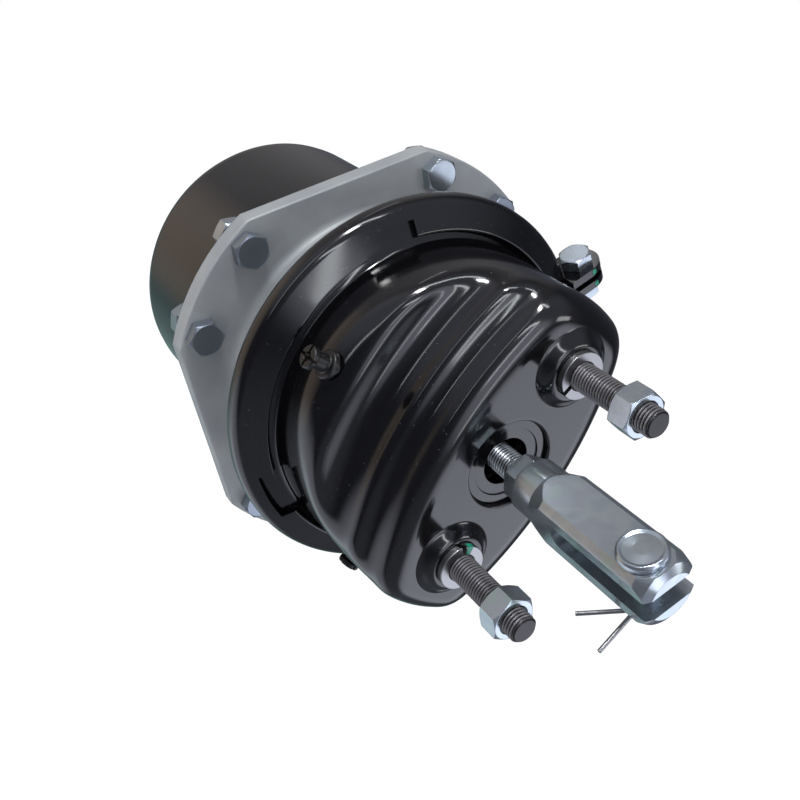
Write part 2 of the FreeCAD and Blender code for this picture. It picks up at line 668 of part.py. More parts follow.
# Release bolt: a thrust ring inside the piston's rod, a shank through the welded nut, and a head outside.
RELEASE_BACK = "(-cylinder_end - release_nut_thick - release_washer_thick)"
ring_place = "(-piston_face + stroke + piston_web)"
keep("release_bolt", fuse("release_bolt", [
    cylinder("release_shank", "release_bolt_radius", "%s - %s" % (ring_place, RELEASE_BACK), RELEASE_BACK),
    cylinder("release_ring", "release_ring_radius", "release_ring_thick", ring_place),
    hexagon("release_head", "nut_across_flats", "release_head_thick", RELEASE_BACK + " - release_head_thick"),
]))
keep("release_nut", cut("release_nut", hexagon("release_nut_hexagon", "release_nut_flats", "release_nut_thick",
                                               "-cylinder_end - release_nut_thick"),
                        [cylinder("release_nut_hole", "release_bolt_radius + running_gap", "release_nut_thick",
                                  "-cylinder_end - release_nut_thick")]))
keep("release_washer", turned("release_washer", [
    (RELEASE_BACK, "release_bolt_radius + bolt_clearance"),
    (RELEASE_BACK, "release_nut_flats / 2 - release_washer_inset"),
    (RELEASE_BACK + " + release_washer_thick", "release_nut_flats / 2 - release_washer_inset"),
    (RELEASE_BACK + " + release_washer_thick", "release_bolt_radius + bolt_clearance"),
]))

# Parking piston: a cup with a web in front, a seal ring and a guide ring in its skirt.
bore = "(cylinder_radius - cylinder_wall)"
skirt = "(%s - piston_gap)" % bore
skirt_back = "(-piston_face - piston_skirt)"
guide_front = "(%s + ring_width + ring_back_land)" % skirt_back
seal_front = "(-piston_face - ring_land)"
groove_low = "(%s - ring_depth)" % skirt
keep("piston", turned("piston", [
    ("-piston_face", "rod_tube_radius"),
    ("-piston_face", skirt),
    (seal_front, skirt),
    (seal_front, groove_low),
    (seal_front + " - ring_width", groove_low),
    (seal_front + " - ring_width", skirt),
    (guide_front, skirt),
    (guide_front, groove_low),
    (guide_front + " - ring_width", groove_low),
    (guide_front + " - ring_width", skirt),
    (skirt_back, skirt),
    (skirt_back, skirt + " - piston_skirt_thick"),
    ("-piston_face - piston_web", skirt + " - piston_skirt_thick"),
    ("-piston_face - piston_web", "rod_tube_radius + piston_web"),
    ("-piston_face - 2 * piston_web", "rod_tube_radius + piston_web"),
    ("-piston_face - 2 * piston_web", "rod_tube_radius"),
]))
for label, front in (("piston_seal", seal_front), ("piston_guide_ring", guide_front)):
    keep(label, turned(label, [
        (front + " - soft_gap", groove_low),
        (front + " - soft_gap", bore + " - running_gap"),
        (front + " - ring_width + soft_gap", bore + " - running_gap"),
        (front + " - ring_width + soft_gap", groove_low),
    ]))

cap_back = "(%s + soft_gap - rod_cap_thick)" % bowl_floor
tube_back = "(-piston_face - 2 * piston_web)"
keep("piston_rod", turned("piston_rod", [
    (tube_back, "release_bolt_radius + 2 * bolt_clearance"),
    (tube_back, "rod_tube_radius"),
    (cap_back, "rod_tube_radius"),
    (cap_back, "rod_tube_bore"),
    (tube_back + " + piston_web", "rod_tube_bore"),
    (tube_back + " + piston_web", "release_bolt_radius + 2 * bolt_clearance"),
]))
keep("rod_cap", turned("rod_cap", [
    (cap_back + " - 2 * rod_cap_thick", "0"),
    (cap_back + " - 2 * rod_cap_thick", "rod_tube_bore"),
    (cap_back, "rod_tube_bore"),
    (cap_back, "rod_cap_radius"),
    (cap_back + " + rod_cap_thick - 2 * soft_gap", "rod_cap_radius"),
    (cap_back + " + rod_cap_thick - 2 * soft_gap", "0"),
]))
BORE_FRONT = "(%s - rod_cap_thick - rod_cap_play)" % bowl_floor
for label, back, front in (("rod_seal", BORE_FRONT + " - seal_width", BORE_FRONT),
                           ("rod_bush", FLANGE_BACK, BORE_FRONT + " - seal_width")):
    keep(label, turned(label, [(back, "rod_tube_radius + running_gap"), (back, "bush_radius"),
                               (front, "bush_radius"), (front, "rod_tube_radius + running_gap")]))

# Diaphragm: a rubber disc in the bowl, with its bead held between the rims.
seat = "(%s + soft_gap)" % bowl_floor
disc_front = "(%s + diaphragm_thick)" % seat
rim_seat = "(%s + soft_gap)" % hub_front
bead_front = "(%s - soft_gap)" % RIM_INNER
keep("diaphragm", turned("diaphragm", [
    (seat, "0"),
    (seat, "bowl_floor_radius"),
    (rim_seat, "bowl_radius"),
    (rim_seat, "rim_radius - bead_inset"),
    (bead_front + " + rim_slope * bead_inset", "rim_radius - bead_inset"),
    (bead_front + " + rim_slope * (bead_inset + bead_width)", "rim_radius - bead_inset - bead_width"),
    (rim_seat + " + diaphragm_thick * 1.2", "bowl_radius - bead_inset"),
    (disc_front, "bowl_floor_radius - diaphragm_thick / 2"),
    (disc_front, "0"),
]))

# Push plate, pushrod, lock nut.
keep("push_plate", turned("push_plate", [
    (disc_front, "0"),
    (disc_front, "plate_radius - plate_edge"),
    (disc_front + " + plate_edge", "plate_radius"),
    (disc_front + " + plate_thick", "plate_radius"),
    (disc_front + " + plate_thick", "plate_radius - 1.5 * plate_edge"),
    (disc_front + " + plate_thick / 2", "plate_radius - 4 * plate_edge"),
    (disc_front + " + plate_thick / 2", "plate_hub_radius"),
    (disc_front + " + plate_thick + plate_hub_length", "plate_hub_radius"),
    (disc_front + " + plate_thick + plate_hub_length", "pushrod_radius"),
    (disc_front + " + plate_thick / 2", "pushrod_radius"),
    (disc_front + " + plate_thick / 2", "0"),
]))
rod_back = "(%s + plate_thick / 2)" % disc_front
rod_front = "(lock_nut_seat + lock_nut_thick + collar_length + yoke_neck)"
keep("pushrod", cylinder("pushrod", "pushrod_radius", "%s - %s" % (rod_front, rod_back), rod_back))
lock_nut = cut("lock_nut", hexagon("lock_nut_hexagon", "nut_across_flats", "lock_nut_thick", "lock_nut_seat"),
               [cylinder("lock_nut_hole", "pushrod_radius", "lock_nut_thick", "lock_nut_seat")])
keep("lock_nut", turned_about_x(lock_nut, "yoke_turn + lock_nut_turn"))

# Clevis: a square bar turned to a collar behind and rounded in front, slotted for the brake's lever.
COLLAR_BACK = "(lock_nut_seat + lock_nut_thick)"
neck_start = "(%s + collar_length)" % COLLAR_BACK
yoke_form = turned("yoke_form", [
    (COLLAR_BACK, "0"),
    (COLLAR_BACK, "collar_radius - collar_edge"),
    (COLLAR_BACK + " + collar_edge", "collar_radius"),
    (neck_start, "collar_radius"),
    (neck_start + " + yoke_neck * 0.6", "collar_radius + 0.5 * (yoke_corner_radius - collar_radius)"),
    (neck_start + " + yoke_neck * 1.5", "yoke_corner_radius"),
    ("yoke_end - yoke_nose", "yoke_corner_radius"),
    ("yoke_end - yoke_nose_edge", "yoke_corner_radius - yoke_nose_edge"),
    ("yoke_end", "yoke_corner_radius - yoke_nose_drop"),
    ("yoke_end", "0"),
])
yoke_bar = block("yoke_bar", ("yoke_end", "yoke_width", "yoke_height"), ("0", "-yoke_width / 2", "-yoke_height / 2"))
clevis = cut("clevis", common("yoke", [yoke_form, yoke_bar]), [
    block("yoke_slot_block", ("yoke_end", "2 * yoke_width", "yoke_slot"),
          ("yoke_slot_root + yoke_slot / 2", "-yoke_width", "-yoke_slot / 2")),
    cylinder("yoke_slot_end", "yoke_slot / 2", "2 * yoke_width", "yoke_slot_root + yoke_slot / 2", "-yoke_width", "0",
             "Y"),
    cylinder("yoke_pin_bore", "pin_radius + running_gap", "2 * yoke_height", "pin_seat", "0", "-yoke_height", "Z"),
    cylinder("yoke_thread", "pushrod_radius", "%s - %s" % (rod_front, COLLAR_BACK), COLLAR_BACK),
])
keep("clevis", turned_about_x(clevis, "yoke_turn"))

pin_end = "(-yoke_height / 2 - pin_tail)"
cotter_level = "(-yoke_height / 2 - cotter_offset)"
clevis_pin = cut("clevis_pin", fuse("pin_solid", [
    cylinder("pin_shank", "pin_radius", "yoke_height / 2 - %s" % pin_end, "pin_seat", "0", pin_end, "Z"),
    cylinder("pin_head", "pin_head_radius", "pin_head_thick", "pin_seat", "0", "yoke_height / 2", "Z"),
]), [cylinder("cotter_hole", "cotter_radius + soft_gap", "4 * pin_radius", "pin_seat", "-2 * pin_radius",
              cotter_level, "Y")])
keep("clevis_pin", turned_about_x(clevis_pin, "yoke_turn"))

# Cotter: a round shank through the pin, a ring on one side, and two legs bent apart on the other.
cotter_ring = doc.addObject("Part::Torus", "cotter_ring")
bind(cotter_ring, Radius1="2 * cotter_radius", Radius2="cotter_radius * 0.75", Placement__Base__x="pin_seat",
     Placement__Base__y="pin_radius + 2.5 * cotter_radius + cotter_stand", Placement__Base__z=cotter_level)
cotter_parts = [
    cylinder("cotter_shank", "cotter_radius", "2 * pin_radius + 2.5 * cotter_stand", "pin_seat",
             "-pin_radius - cotter_stand", cotter_level, "Y"),
    cotter_ring,
]
for lean in (-0.8, 0.2):
    leg = doc.addObject("Part::Cylinder", "cotter_leg")
    axis = FreeCAD.Rotation(FreeCAD.Vector(0, 0, 1), FreeCAD.Vector(lean, -1.0, 0))
    leg.Placement = FreeCAD.Placement(FreeCAD.Vector(), axis)
    bind(leg, Radius="cotter_radius * 0.7", Height="cotter_leg", Placement__Base__x="pin_seat",
         Placement__Base__y="-pin_radius - cotter_stand / 2", Placement__Base__z=cotter_level)
    cotter_parts.append(leg)
keep("cotter_pin", turned_about_x(fuse("cotter_pin", cotter_parts), "yoke_turn"))


# Springs: round wire swept along a helix about X.
def spring(label, wire, radius, length, turns, x):
    path = doc.addObject("Part::Helix", label + "_path")
    path.SegmentLength = 0.5
    bind(path, Radius=radius, Height=length, Pitch="(%s) / %s" % (length, turns))
    section = doc.addObject("Part::Circle", label + "_section")
    section.Placement = FreeCAD.Placement(FreeCAD.Vector(), FreeCAD.Rotation(FreeCAD.Vector(1, 0, 0), 90))
    bind(section, Radius=wire, Placement__Base__x=radius)
    sweep = doc.addObject("Part::Sweep", label)
    sweep.Sections = [section]
    sweep.Spine = (path, [])
    sweep.Solid = True
    sweep.Frenet = True
    doc.recompute()
    sweep.Placement = FreeCAD.Placement(FreeCAD.Vector(), FreeCAD.Rotation(FreeCAD.Vector(0, 1, 0), 90))
    bind(sweep, Placement__Base__x=x)
    return keep(label, sweep)


plate_front = "(%s + plate_thick / 2)" % disc_front
spring("return_spring", "return_wire_radius", "return_radius",
       "%s - %s - 2 * return_wire_radius - 2 * spring_gap" % (INNER_FACE, plate_front), "return_turns",
       "%s + return_wire_radius + spring_gap" % plate_front)
web_back = "(-piston_face - piston_web)"
spring("power_spring", "power_wire_radius", "power_radius",
       "%s - %s - 2 * power_wire_radius - 2 * spring_gap" % (web_back, INNER_END), "power_turns",
       "%s + power_wire_radius + spring_gap" % INNER_END)

doc.recompute()
problems = ["%s %s" % (item.Label, item.State) for item in doc.Objects if set(item.State) & {"Invalid", "Error"}]
for label, item in NODES.items():
    if item.Shape.isNull() or not item.Shape.isValid() or not item.Shape.Solids:
        problems.append("%s has no valid solid" % label)
if problems:
    raise RuntimeError("; ".join(problems))

os.makedirs("parts", exist_ok=True)
for label, item in NODES.items():
    item.Shape.exportStep("parts/%s.step" % label)
    box = item.Shape.BoundBox
    print("%-20s %d solid(s) %10.0f mm3  x %.1f..%.1f y %.1f..%.1f z %.1f..%.1f" % (
        label, len(item.Shape.Solids), item.Shape.Volume, box.XMin, box.XMax, box.YMin, box.YMax, box.ZMin, box.ZMax))
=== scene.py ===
# %% [markdown]
# # An air brake chamber in a studio
#
# The chamber is a black pressed-steel housing clamped to a cast aluminium flange, with a rear
# spring cylinder, two mounting studs and a pushrod that ends in a zinc-plated clevis. Its solids
# come packed as a fixed frame. They can be shown as they are, or a finer piece can stand in for
# one. Here each node that the camera sees from close by gets a finer piece, because rolled edges,
# threads and pressed valleys make the real look.

import json
import math
import random

import bpy
import numpy as np
from mathutils import Matrix, Vector


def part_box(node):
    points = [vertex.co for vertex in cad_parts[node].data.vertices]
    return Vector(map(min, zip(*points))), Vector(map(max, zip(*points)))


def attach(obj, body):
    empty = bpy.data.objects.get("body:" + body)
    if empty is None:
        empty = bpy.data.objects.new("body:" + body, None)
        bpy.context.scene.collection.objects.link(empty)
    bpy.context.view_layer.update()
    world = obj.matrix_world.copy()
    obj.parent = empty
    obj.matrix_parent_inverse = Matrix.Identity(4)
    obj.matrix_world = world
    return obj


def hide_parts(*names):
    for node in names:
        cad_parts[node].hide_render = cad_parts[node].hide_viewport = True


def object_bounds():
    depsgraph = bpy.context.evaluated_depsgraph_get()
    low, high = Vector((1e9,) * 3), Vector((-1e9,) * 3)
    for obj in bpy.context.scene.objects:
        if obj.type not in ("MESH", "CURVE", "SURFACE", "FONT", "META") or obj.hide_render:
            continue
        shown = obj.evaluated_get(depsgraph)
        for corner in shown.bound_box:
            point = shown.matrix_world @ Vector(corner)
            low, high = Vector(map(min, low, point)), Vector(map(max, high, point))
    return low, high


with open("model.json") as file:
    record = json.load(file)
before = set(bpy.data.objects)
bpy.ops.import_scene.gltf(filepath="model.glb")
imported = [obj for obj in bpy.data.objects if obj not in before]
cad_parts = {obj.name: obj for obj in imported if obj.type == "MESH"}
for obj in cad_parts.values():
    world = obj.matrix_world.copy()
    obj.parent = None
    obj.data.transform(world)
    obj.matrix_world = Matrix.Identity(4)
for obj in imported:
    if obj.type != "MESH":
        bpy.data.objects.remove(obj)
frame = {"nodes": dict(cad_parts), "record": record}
cad_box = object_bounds()
nodes = frame["nodes"]
MM = 0.001
print("nodes", len(nodes), "box", cad_box)

# %% [markdown]
# ## The camera
#
# The camera stands in front of the clevis, a little above it, and is rolled so that the studs' line
# leans. It could be aimed with a Track To constraint, but that can't roll it, so its three
# directions are set as a matrix.

# %% Camera
CAMERA_PLACE = Vector((317.4, -389.1, 78.8)) * MM
CAMERA_RIGHT = Vector((0.521, 0.687, 0.507))
CAMERA_UP = Vector((-0.446, -0.288, 0.848))
FOCAL_PIXELS = 950.0
FRAME_PIXELS = 800.0
SENSOR_WIDTH = 36.0

bpy.ops.object.select_all(action="DESELECT")
bpy.ops.object.camera_add()
camera = bpy.context.object
camera.data.sensor_width = SENSOR_WIDTH
camera.data.lens = SENSOR_WIDTH * FOCAL_PIXELS / FRAME_PIXELS
camera.data.clip_start = 0.01
right = CAMERA_RIGHT.normalized()
up = (CAMERA_UP - right * CAMERA_UP.dot(right)).normalized()
back = right.cross(up)
rolled = Matrix((right, up, back)).transposed().to_4x4()
camera.matrix_world = Matrix.Translation(CAMERA_PLACE) @ rolled
bpy.context.scene.camera = camera
bpy.context.scene.view_settings.view_transform = "Standard"
print("camera looks along", tuple(round(v, 3) for v in -back))

# %% [markdown]
# ## Finishes
#
# Each finish is a Principled BSDF with a little unevenness, because nothing on a chamber is
# perfectly even: paint has orange peel and dust, a casting has grain, zinc plate has faint coloured
# bands. One function adds a node with its settings and links, so each finish reads as a short list.

# %% Helpers for finishes
def linear(code):
    """An sRGB hex colour as linear values, opaque."""
    values = [int(code[i:i + 2], 16) / 255.0 for i in (1, 3, 5)]
    curved = [v / 12.92 if v <= 0.04045 else ((v + 0.055) / 1.055) ** 2.4 for v in values]
    return curved + [1.0]


def add_node(tree, kind, settings=None, **links):
    """Add a node; settings are properties or inputs, links name an input and the output for it."""
    node = tree.nodes.new(kind)
    for name, value in (settings or {}).items():
        if hasattr(node, name):
            setattr(node, name, value)
        else:
            node.inputs[name].default_value = value
    for name, output in links.items():
        tree.links.new(output, node.inputs[name.replace("_", " ")])
    return node


def maths(tree, operation, *values):
    """The result of a Math node that is fed with outputs and plain numbers."""
    node = add_node(tree, "ShaderNodeMath", {"operation": operation})
    for socket, value in zip(node.inputs, values):
        if isinstance(value, float):
            socket.default_value = value
        else:
            tree.links.new(value, socket)
    return node.outputs[0]


def mixed(tree, factor, low, high):
    """The blend of two hex colours by a factor."""
    mix = add_node(tree, "ShaderNodeMix", {"data_type": "RGBA"}, Factor=factor)
    mix.inputs[6].default_value = linear(low)
    mix.inputs[7].default_value = linear(high)
    return mix.outputs[2]


def finish(name, colour, metallic=0.0, roughness=0.5, **settings):
    """A new material with its Principled node set."""
    material = bpy.data.materials.new(name)
    material.use_nodes = True
    shader = material.node_tree.nodes["Principled BSDF"]
    shader.inputs["Base Color"].default_value = linear(colour)
    shader.inputs["Metallic"].default_value = metallic
    shader.inputs["Roughness"].default_value = roughness
    for key, value in settings.items():
        shader.inputs[key.replace("_", " ")].default_value = value
    return material, material.node_tree, shader


def clouds(tree, size_mm, detail):
    """Noise whose patches have a given size in millimetres."""
    place = add_node(tree, "ShaderNodeTexCoord")
    noise = add_node(tree, "ShaderNodeTexNoise", {"Scale": 1.0 / (size_mm * MM), "Detail": detail},
                     Vector=place.outputs["Object"])
    return noise.outputs["Fac"]


def grain(tree, shader, size_mm, height_mm, strength):
    """A fine bump whose bumps are a given size and height."""
    bump = add_node(tree, "ShaderNodeBump", {"Strength": strength, "Distance": height_mm * MM},
                    Height=clouds(tree, size_mm, 3.0))
    tree.links.new(bump.outputs["Normal"], shader.inputs["Normal"])


def blotches(tree, size_mm, colours, low=0.35, high=0.65):
    """A soft change between two or more colours over patches of a given size."""
    ramp = add_node(tree, "ShaderNodeValToRGB", Fac=clouds(tree, size_mm, 2.0))
    steps = ramp.color_ramp.elements
    while len(steps) < len(colours):
        steps.new(0.5)
    for index, colour in enumerate(colours):
        steps[index].position = low + (high - low) * index / (len(colours) - 1)
        steps[index].color = linear(colour)
    return ramp.outputs["Color"]


# %% Black enamel
# Sprayed black enamel over pressed steel: nearly black, glossy, with faint orange peel and specks
# of dust.
PAINT_BLACK = "#0a0a0d"
DUST_GREY = "#4c4f55"
DUST_SPACING = 4.5
DUST_SIZE = 0.06
enamel, tree, shader = finish("black enamel", PAINT_BLACK, roughness=0.12, IOR=1.55)
grain(tree, shader, 5.0, 0.012, 0.5)
place = add_node(tree, "ShaderNodeTexCoord")
specks = add_node(tree, "ShaderNodeTexVoronoi", {"Scale": 1.0 / (DUST_SPACING * MM)},
                  Vector=place.outputs["Object"])
dust = maths(tree, "LESS_THAN", specks.outputs["Distance"], DUST_SIZE)
tree.links.new(mixed(tree, dust, PAINT_BLACK, DUST_GREY), shader.inputs["Base Color"])

# %% Cast aluminium
# Gravity-cast aluminium, left as cast: matt grey with a fine sand grain that breaks up the light.
casting, tree, shader = finish("cast aluminium", "#979b9e", metallic=0.15, roughness=0.5)
grain(tree, shader, 0.8, 0.1, 0.6)
tree.links.new(blotches(tree, 30.0, ["#92969b", "#9da1a4"]), shader.inputs["Base Color"])

# %% Zinc plate
# Bright zinc plate with a clear passivate: a cool grey metal whose film shows faint blue, violet
# and green.
zinc, tree, shader = finish("bright zinc plate", "#a6abad", metallic=0.85, roughness=0.2)
grain(tree, shader, 1.2, 0.02, 0.4)
tree.links.new(blotches(tree, 16.0, ["#a0aab3", "#abb4ba", "#a4abb5", "#a0b0af"], 0.3, 0.7),
               shader.inputs["Base Color"])

# %% Threads with painted shade and highlight
THREAD_ROOT = 7.0
THREAD_CREST = 7.95
STUD_OFFSET = 60.325


def shaded_thread(name, root, crest, offset, metallic, roughness):
    """A threaded rod's finish: painted shade in the roots and a painted highlight on the crests."""
    material, tree, shader = finish(name, crest, metallic, roughness)
    place = add_node(tree, "ShaderNodeTexCoord")
    parts = add_node(tree, "ShaderNodeSeparateXYZ", Vector=place.outputs["Object"])
    from_axis = maths(tree, "SUBTRACT", maths(tree, "ABSOLUTE", parts.outputs["Z"]), offset * MM)
    across = add_node(tree, "ShaderNodeCombineXYZ", Y=parts.outputs["Y"], Z=from_axis)
    radius = add_node(tree, "ShaderNodeVectorMath", {"operation": "LENGTH"},
                      Vector=across.outputs[0])
    depth = add_node(tree, "ShaderNodeMapRange",
                     {"From Min": THREAD_ROOT * MM, "From Max": THREAD_CREST * MM},
                     Value=radius.outputs["Value"])
    # the radius blends painted shade in the roots into a painted highlight on the crests
    tree.links.new(mixed(tree, depth.outputs["Result"], root, crest), shader.inputs["Base Color"])
    return material


# The pushrod's thread is bright plate and the studs' threads are phosphated. Both have painted
# shade in their roots and a painted highlight on their crests.
rod_thread = shaded_thread("bright thread", "#2c2d2e", "#d6dadc", 0.0, 0.9, 0.2)
stud_thread = shaded_thread("phosphated thread", "#1d1c1e", "#8a888b", STUD_OFFSET, 0.5, 0.35)

# %% Dark zinc
# The flange bolts' plate is a darker, bluish one, with the same fine grain.
bolt_zinc, tree, shader = finish("blue zinc plate", "#7d8590", metallic=0.7, roughness=0.28)
grain(tree, shader, 1.0, 0.02, 0.5)

# %% Dark phosphate, rubber, plain steel, plastic and inspection paint
# Phosphated steel is charcoal and satin, and rubber is matt. Plain steel serves for the spring
# washers and the cotter. The dabs of paint mark joints that were tightened.
phosphate, tree, shader = finish("dark phosphate", "#5f5d60", metallic=0.5, roughness=0.4)
grain(tree, shader, 0.8, 0.05, 0.6)
rubber = finish("moulded rubber", "#0a0a0b", roughness=0.4)[0]
steel = finish("plain steel wire", "#8d8d8e", metallic=1.0, roughness=0.35)[0]
plastic = finish("moulded plastic", "#1c1c1e", roughness=0.5)[0]
dab = finish("green inspection paint", "#1f9479", roughness=0.4)[0]

FINISH_OF_SLOT = {
    "black_paint": enamel,
    "dark_steel": phosphate,
    "zinc_plate": zinc,
    "bright_steel": steel,
    "cast_aluminium": casting,
    "rubber": rubber,
    "guide_plastic": plastic,
}
slot_of = {entry["node"]: entry["material_slot"] for entry in frame["record"]["subparts"]}
for name, node in nodes.items():
    node.data.materials.clear()
    node.data.materials.append(FINISH_OF_SLOT[slot_of[name]])
print("finishes", len(FINISH_OF_SLOT))

# %% [markdown]
# ## How the shapes are made
#
# Three ways serve here. Turned pieces, such as the rear cylinder, are a profile spun about the
# axis. Hexagons start as a six-sided cylinder whose corners are cut away by a cone, as on a real
# nut. The pressed housing is a grid laid over a soft-edged form, because drawn sheet metal has no
# sharp edge anywhere.

# %% Helpers for shapes
MERGE = 0.00001
QUARTER = math.pi / 2.0
ARC_STEPS = 5
ROWS_PER_THREAD = 8
CHAMFER_SHARE = 0.96
CHAMFER_SLOPE = math.tan(math.radians(30.0))
SINK = 1.9


def choose(*objects):
    """Select only these objects, the last of them active."""
    bpy.ops.object.select_all(action="DESELECT")
    for item in objects:
        item.select_set(True)
    bpy.context.view_layer.objects.active = objects[-1]


def modify(piece, kind, **settings):
    """Add a modifier and apply it."""
    choose(piece)
    modifier = piece.modifiers.new(kind.lower(), kind)
    for key, value in settings.items():
        setattr(modifier, key, value)
    bpy.ops.object.modifier_apply(modifier=modifier.name)


def bake(piece):
    """Write an object's place, turn and scale into its mesh."""
    choose(piece)
    bpy.ops.object.transform_apply(location=True, rotation=True, scale=True)


def settle(piece, material, angle):
    """Bake a finished piece, and give it its finish and smooth shading."""
    bake(piece)
    piece.name = piece.name.replace(" ", "-")
    bpy.ops.object.shade_smooth_by_angle(angle=math.radians(angle))
    modify(piece, "WEIGHTED_NORMAL", keep_sharp=True)
    piece.data.materials.clear()
    piece.data.materials.append(material)


def facing(piece):
    """Merge a mesh's doubled points and turn its faces outwards."""
    choose(piece)
    bpy.ops.object.mode_set(mode="EDIT")
    bpy.ops.mesh.select_all(action="SELECT")
    bpy.ops.mesh.remove_doubles(threshold=MERGE)
    bpy.ops.mesh.normals_make_consistent(inside=False)
    bpy.ops.object.mode_set(mode="OBJECT")


def rounded(points):
    """A profile of (x, radius, corner radius) points in millimetres, its corners rounded."""
    profile = []
    for index, (x, r, corner) in enumerate(points):
        here = Vector((x, r))
        if corner <= 0.0:
            profile.append(here)
            continue
        before = Vector(points[index - 1][:2]) - here
        after = Vector(points[(index + 1) % len(points)][:2]) - here
        half = before.angle(after) / 2.0
        reach = min(corner / math.tan(half), 0.49 * before.length, 0.49 * after.length)
        start = here + before.normalized() * reach
        end = here + after.normalized() * reach
        for step in range(ARC_STEPS + 1):
            along = step / ARC_STEPS
            profile.append(start.lerp(here, along).lerp(here.lerp(end, along), along))
    return profile


def turn(name, points, steps=128):
    """Spin a profile of (x, radius, corner radius) points about the X axis."""
    profile = rounded(points)
    bpy.ops.object.select_all(action="DESELECT")
    bpy.ops.mesh.primitive_circle_add(vertices=len(profile), fill_type="NOTHING")
    piece = bpy.context.object
    piece.name = name
    for vertex, corner in zip(piece.data.vertices, profile):
        vertex.co = (corner.x * MM, 0.0, corner.y * MM)
    bpy.ops.object.mode_set(mode="EDIT")
    bpy.ops.mesh.select_all(action="SELECT")
    bpy.ops.mesh.spin(steps=steps, angle=math.tau, center=(0.0, 0.0, 0.0), axis=(1.0, 0.0, 0.0))
    bpy.ops.object.mode_set(mode="OBJECT")
    facing(piece)
    return piece


def rod(name, radius, start, end, first=0.0, second=0.0, sides=64, along="X"):
    """A plain cylinder between two places along an axis, its centre given on the other two."""
    middle = (start + end) / 2.0
    place, angle = {
        "X": ((middle, first, second), (0.0, QUARTER, 0.0)),
        "Y": ((first, middle, second), (QUARTER, 0.0, 0.0)),
        "Z": ((first, second, middle), (0.0, 0.0, 0.0)),
    }[along]
    bpy.ops.object.select_all(action="DESELECT")
    bpy.ops.mesh.primitive_cylinder_add(
        vertices=sides, radius=radius * MM, depth=abs(end - start) * MM,
        location=Vector(place) * MM, rotation=angle)
    piece = bpy.context.object
    piece.name = name
    return piece


def ease(piece, width, segments, angle):
    """Bevel the edges that are sharper than an angle."""
    modify(piece, "BEVEL", width=width * MM, segments=segments, limit_method="ANGLE",
           angle_limit=math.radians(angle))


def carve(piece, tool, operation="DIFFERENCE"):
    """Cut a piece with a tool, keep what both share, or join them, and take the tool away."""
    modify(piece, "BOOLEAN", object=tool, operation=operation, solver="EXACT")
    bpy.data.objects.remove(tool)


def join(pieces, name):
    """Make one object of several."""
    choose(*pieces)
    bpy.ops.object.join()
    piece = bpy.context.object
    piece.name = name
    return piece


def threaded(name, radius, start, end, pitch, depth, chamfer=1.2, sides=48):
    """A rod with a cut thread along X: a grid rolled up, its rows pushed in along a helix."""
    rows = int((end - start) / pitch * ROWS_PER_THREAD)
    bpy.ops.object.select_all(action="DESELECT")
    bpy.ops.mesh.primitive_grid_add(x_subdivisions=rows, y_subdivisions=sides, size=2.0)
    piece = bpy.context.object
    piece.name = name
    for vertex in piece.data.vertices:
        x = start + (vertex.co.x + 1.0) / 2.0 * (end - start)
        around = (vertex.co.y + 1.0) / 2.0
        phase = (x / pitch - around) % 1.0
        tooth = abs(phase - 0.5) * 2.0
        groove = depth * min(1.0, max(0.0, 1.25 * tooth - 0.1))
        edge = min(x - start, end - x)
        taper = max(0.0, chamfer - edge)
        r = min(radius - groove, radius - taper)
        angle = math.tau * around
        vertex.co = (x * MM, r * math.cos(angle) * MM, r * math.sin(angle) * MM)
    choose(piece)
    bpy.ops.object.mode_set(mode="EDIT")
    bpy.ops.mesh.select_all(action="SELECT")
    bpy.ops.mesh.remove_doubles(threshold=MERGE)
    bpy.ops.mesh.select_all(action="DESELECT")
    bpy.ops.mesh.select_non_manifold()
    bpy.ops.mesh.fill_holes(sides=0)
    bpy.ops.mesh.select_all(action="SELECT")
    bpy.ops.mesh.normals_make_consistent(inside=False)
    bpy.ops.object.mode_set(mode="OBJECT")
    return piece


def hexagon(name, flats, start, end, bore=0.0, turn_deg=0.0, both_ends=True):
    """A hexagon along X with its corners cut by a 30 degree cone, and a countersunk bore if any."""
    corner = flats / math.sqrt(3.0)
    piece = rod(name, corner, start - 1.0, end + 1.0, sides=6)
    piece.rotation_euler.rotate_axis("Z", math.radians(turn_deg))
    low_r = CHAMFER_SHARE * flats / 2.0
    drop = (corner - low_r) * CHAMFER_SLOPE
    cone = turn(name + " cone", [
        (start, 0.0, 0.0),
        (start, low_r if both_ends else corner + 0.5, 0.0),
        (start + (drop if both_ends else 0.5), corner + 0.5 * (not both_ends) + 0.02, 0.0),
        (end - drop, corner + 0.02, 0.0),
        (end, low_r, 0.0),
        (end, 0.0, 0.0),
    ], steps=72)
    carve(piece, cone, "INTERSECT")
    if bore:
        sink = turn(name + " bore", [
            (start - 1.0, 0.0, 0.0), (start - 1.0, bore + SINK, 0.0),
            (start + SINK - 1.0, bore, 0.0), (end - SINK + 1.0, bore, 0.0),
            (end + 1.0, bore + SINK, 0.0), (end + 1.0, 0.0, 0.0)], steps=48)
        carve(piece, sink)
    ease(piece, 0.25, 2, 25.0)
    return piece


def moved(piece, x=0.0, y=0.0, z=0.0):
    """Shift a piece by millimetres."""
    piece.location = Vector(piece.location) + Vector((x, y, z)) * MM
    return piece


def turned_about_axis(piece, degrees):
    """Turn a piece about the chamber's axis."""
    bake(piece)
    piece.rotation_euler = (math.radians(degrees), 0.0, 0.0)
    bake(piece)
    return piece


def stood_out(piece, plane, degrees):
    """Stand a piece made along X out from the axis at a plane, and swing it about the axis."""
    piece.rotation_euler = (0.0, 0.0, QUARTER)
    piece.location = (plane * MM, 0.0, 0.0)
    return turned_about_axis(piece, degrees)


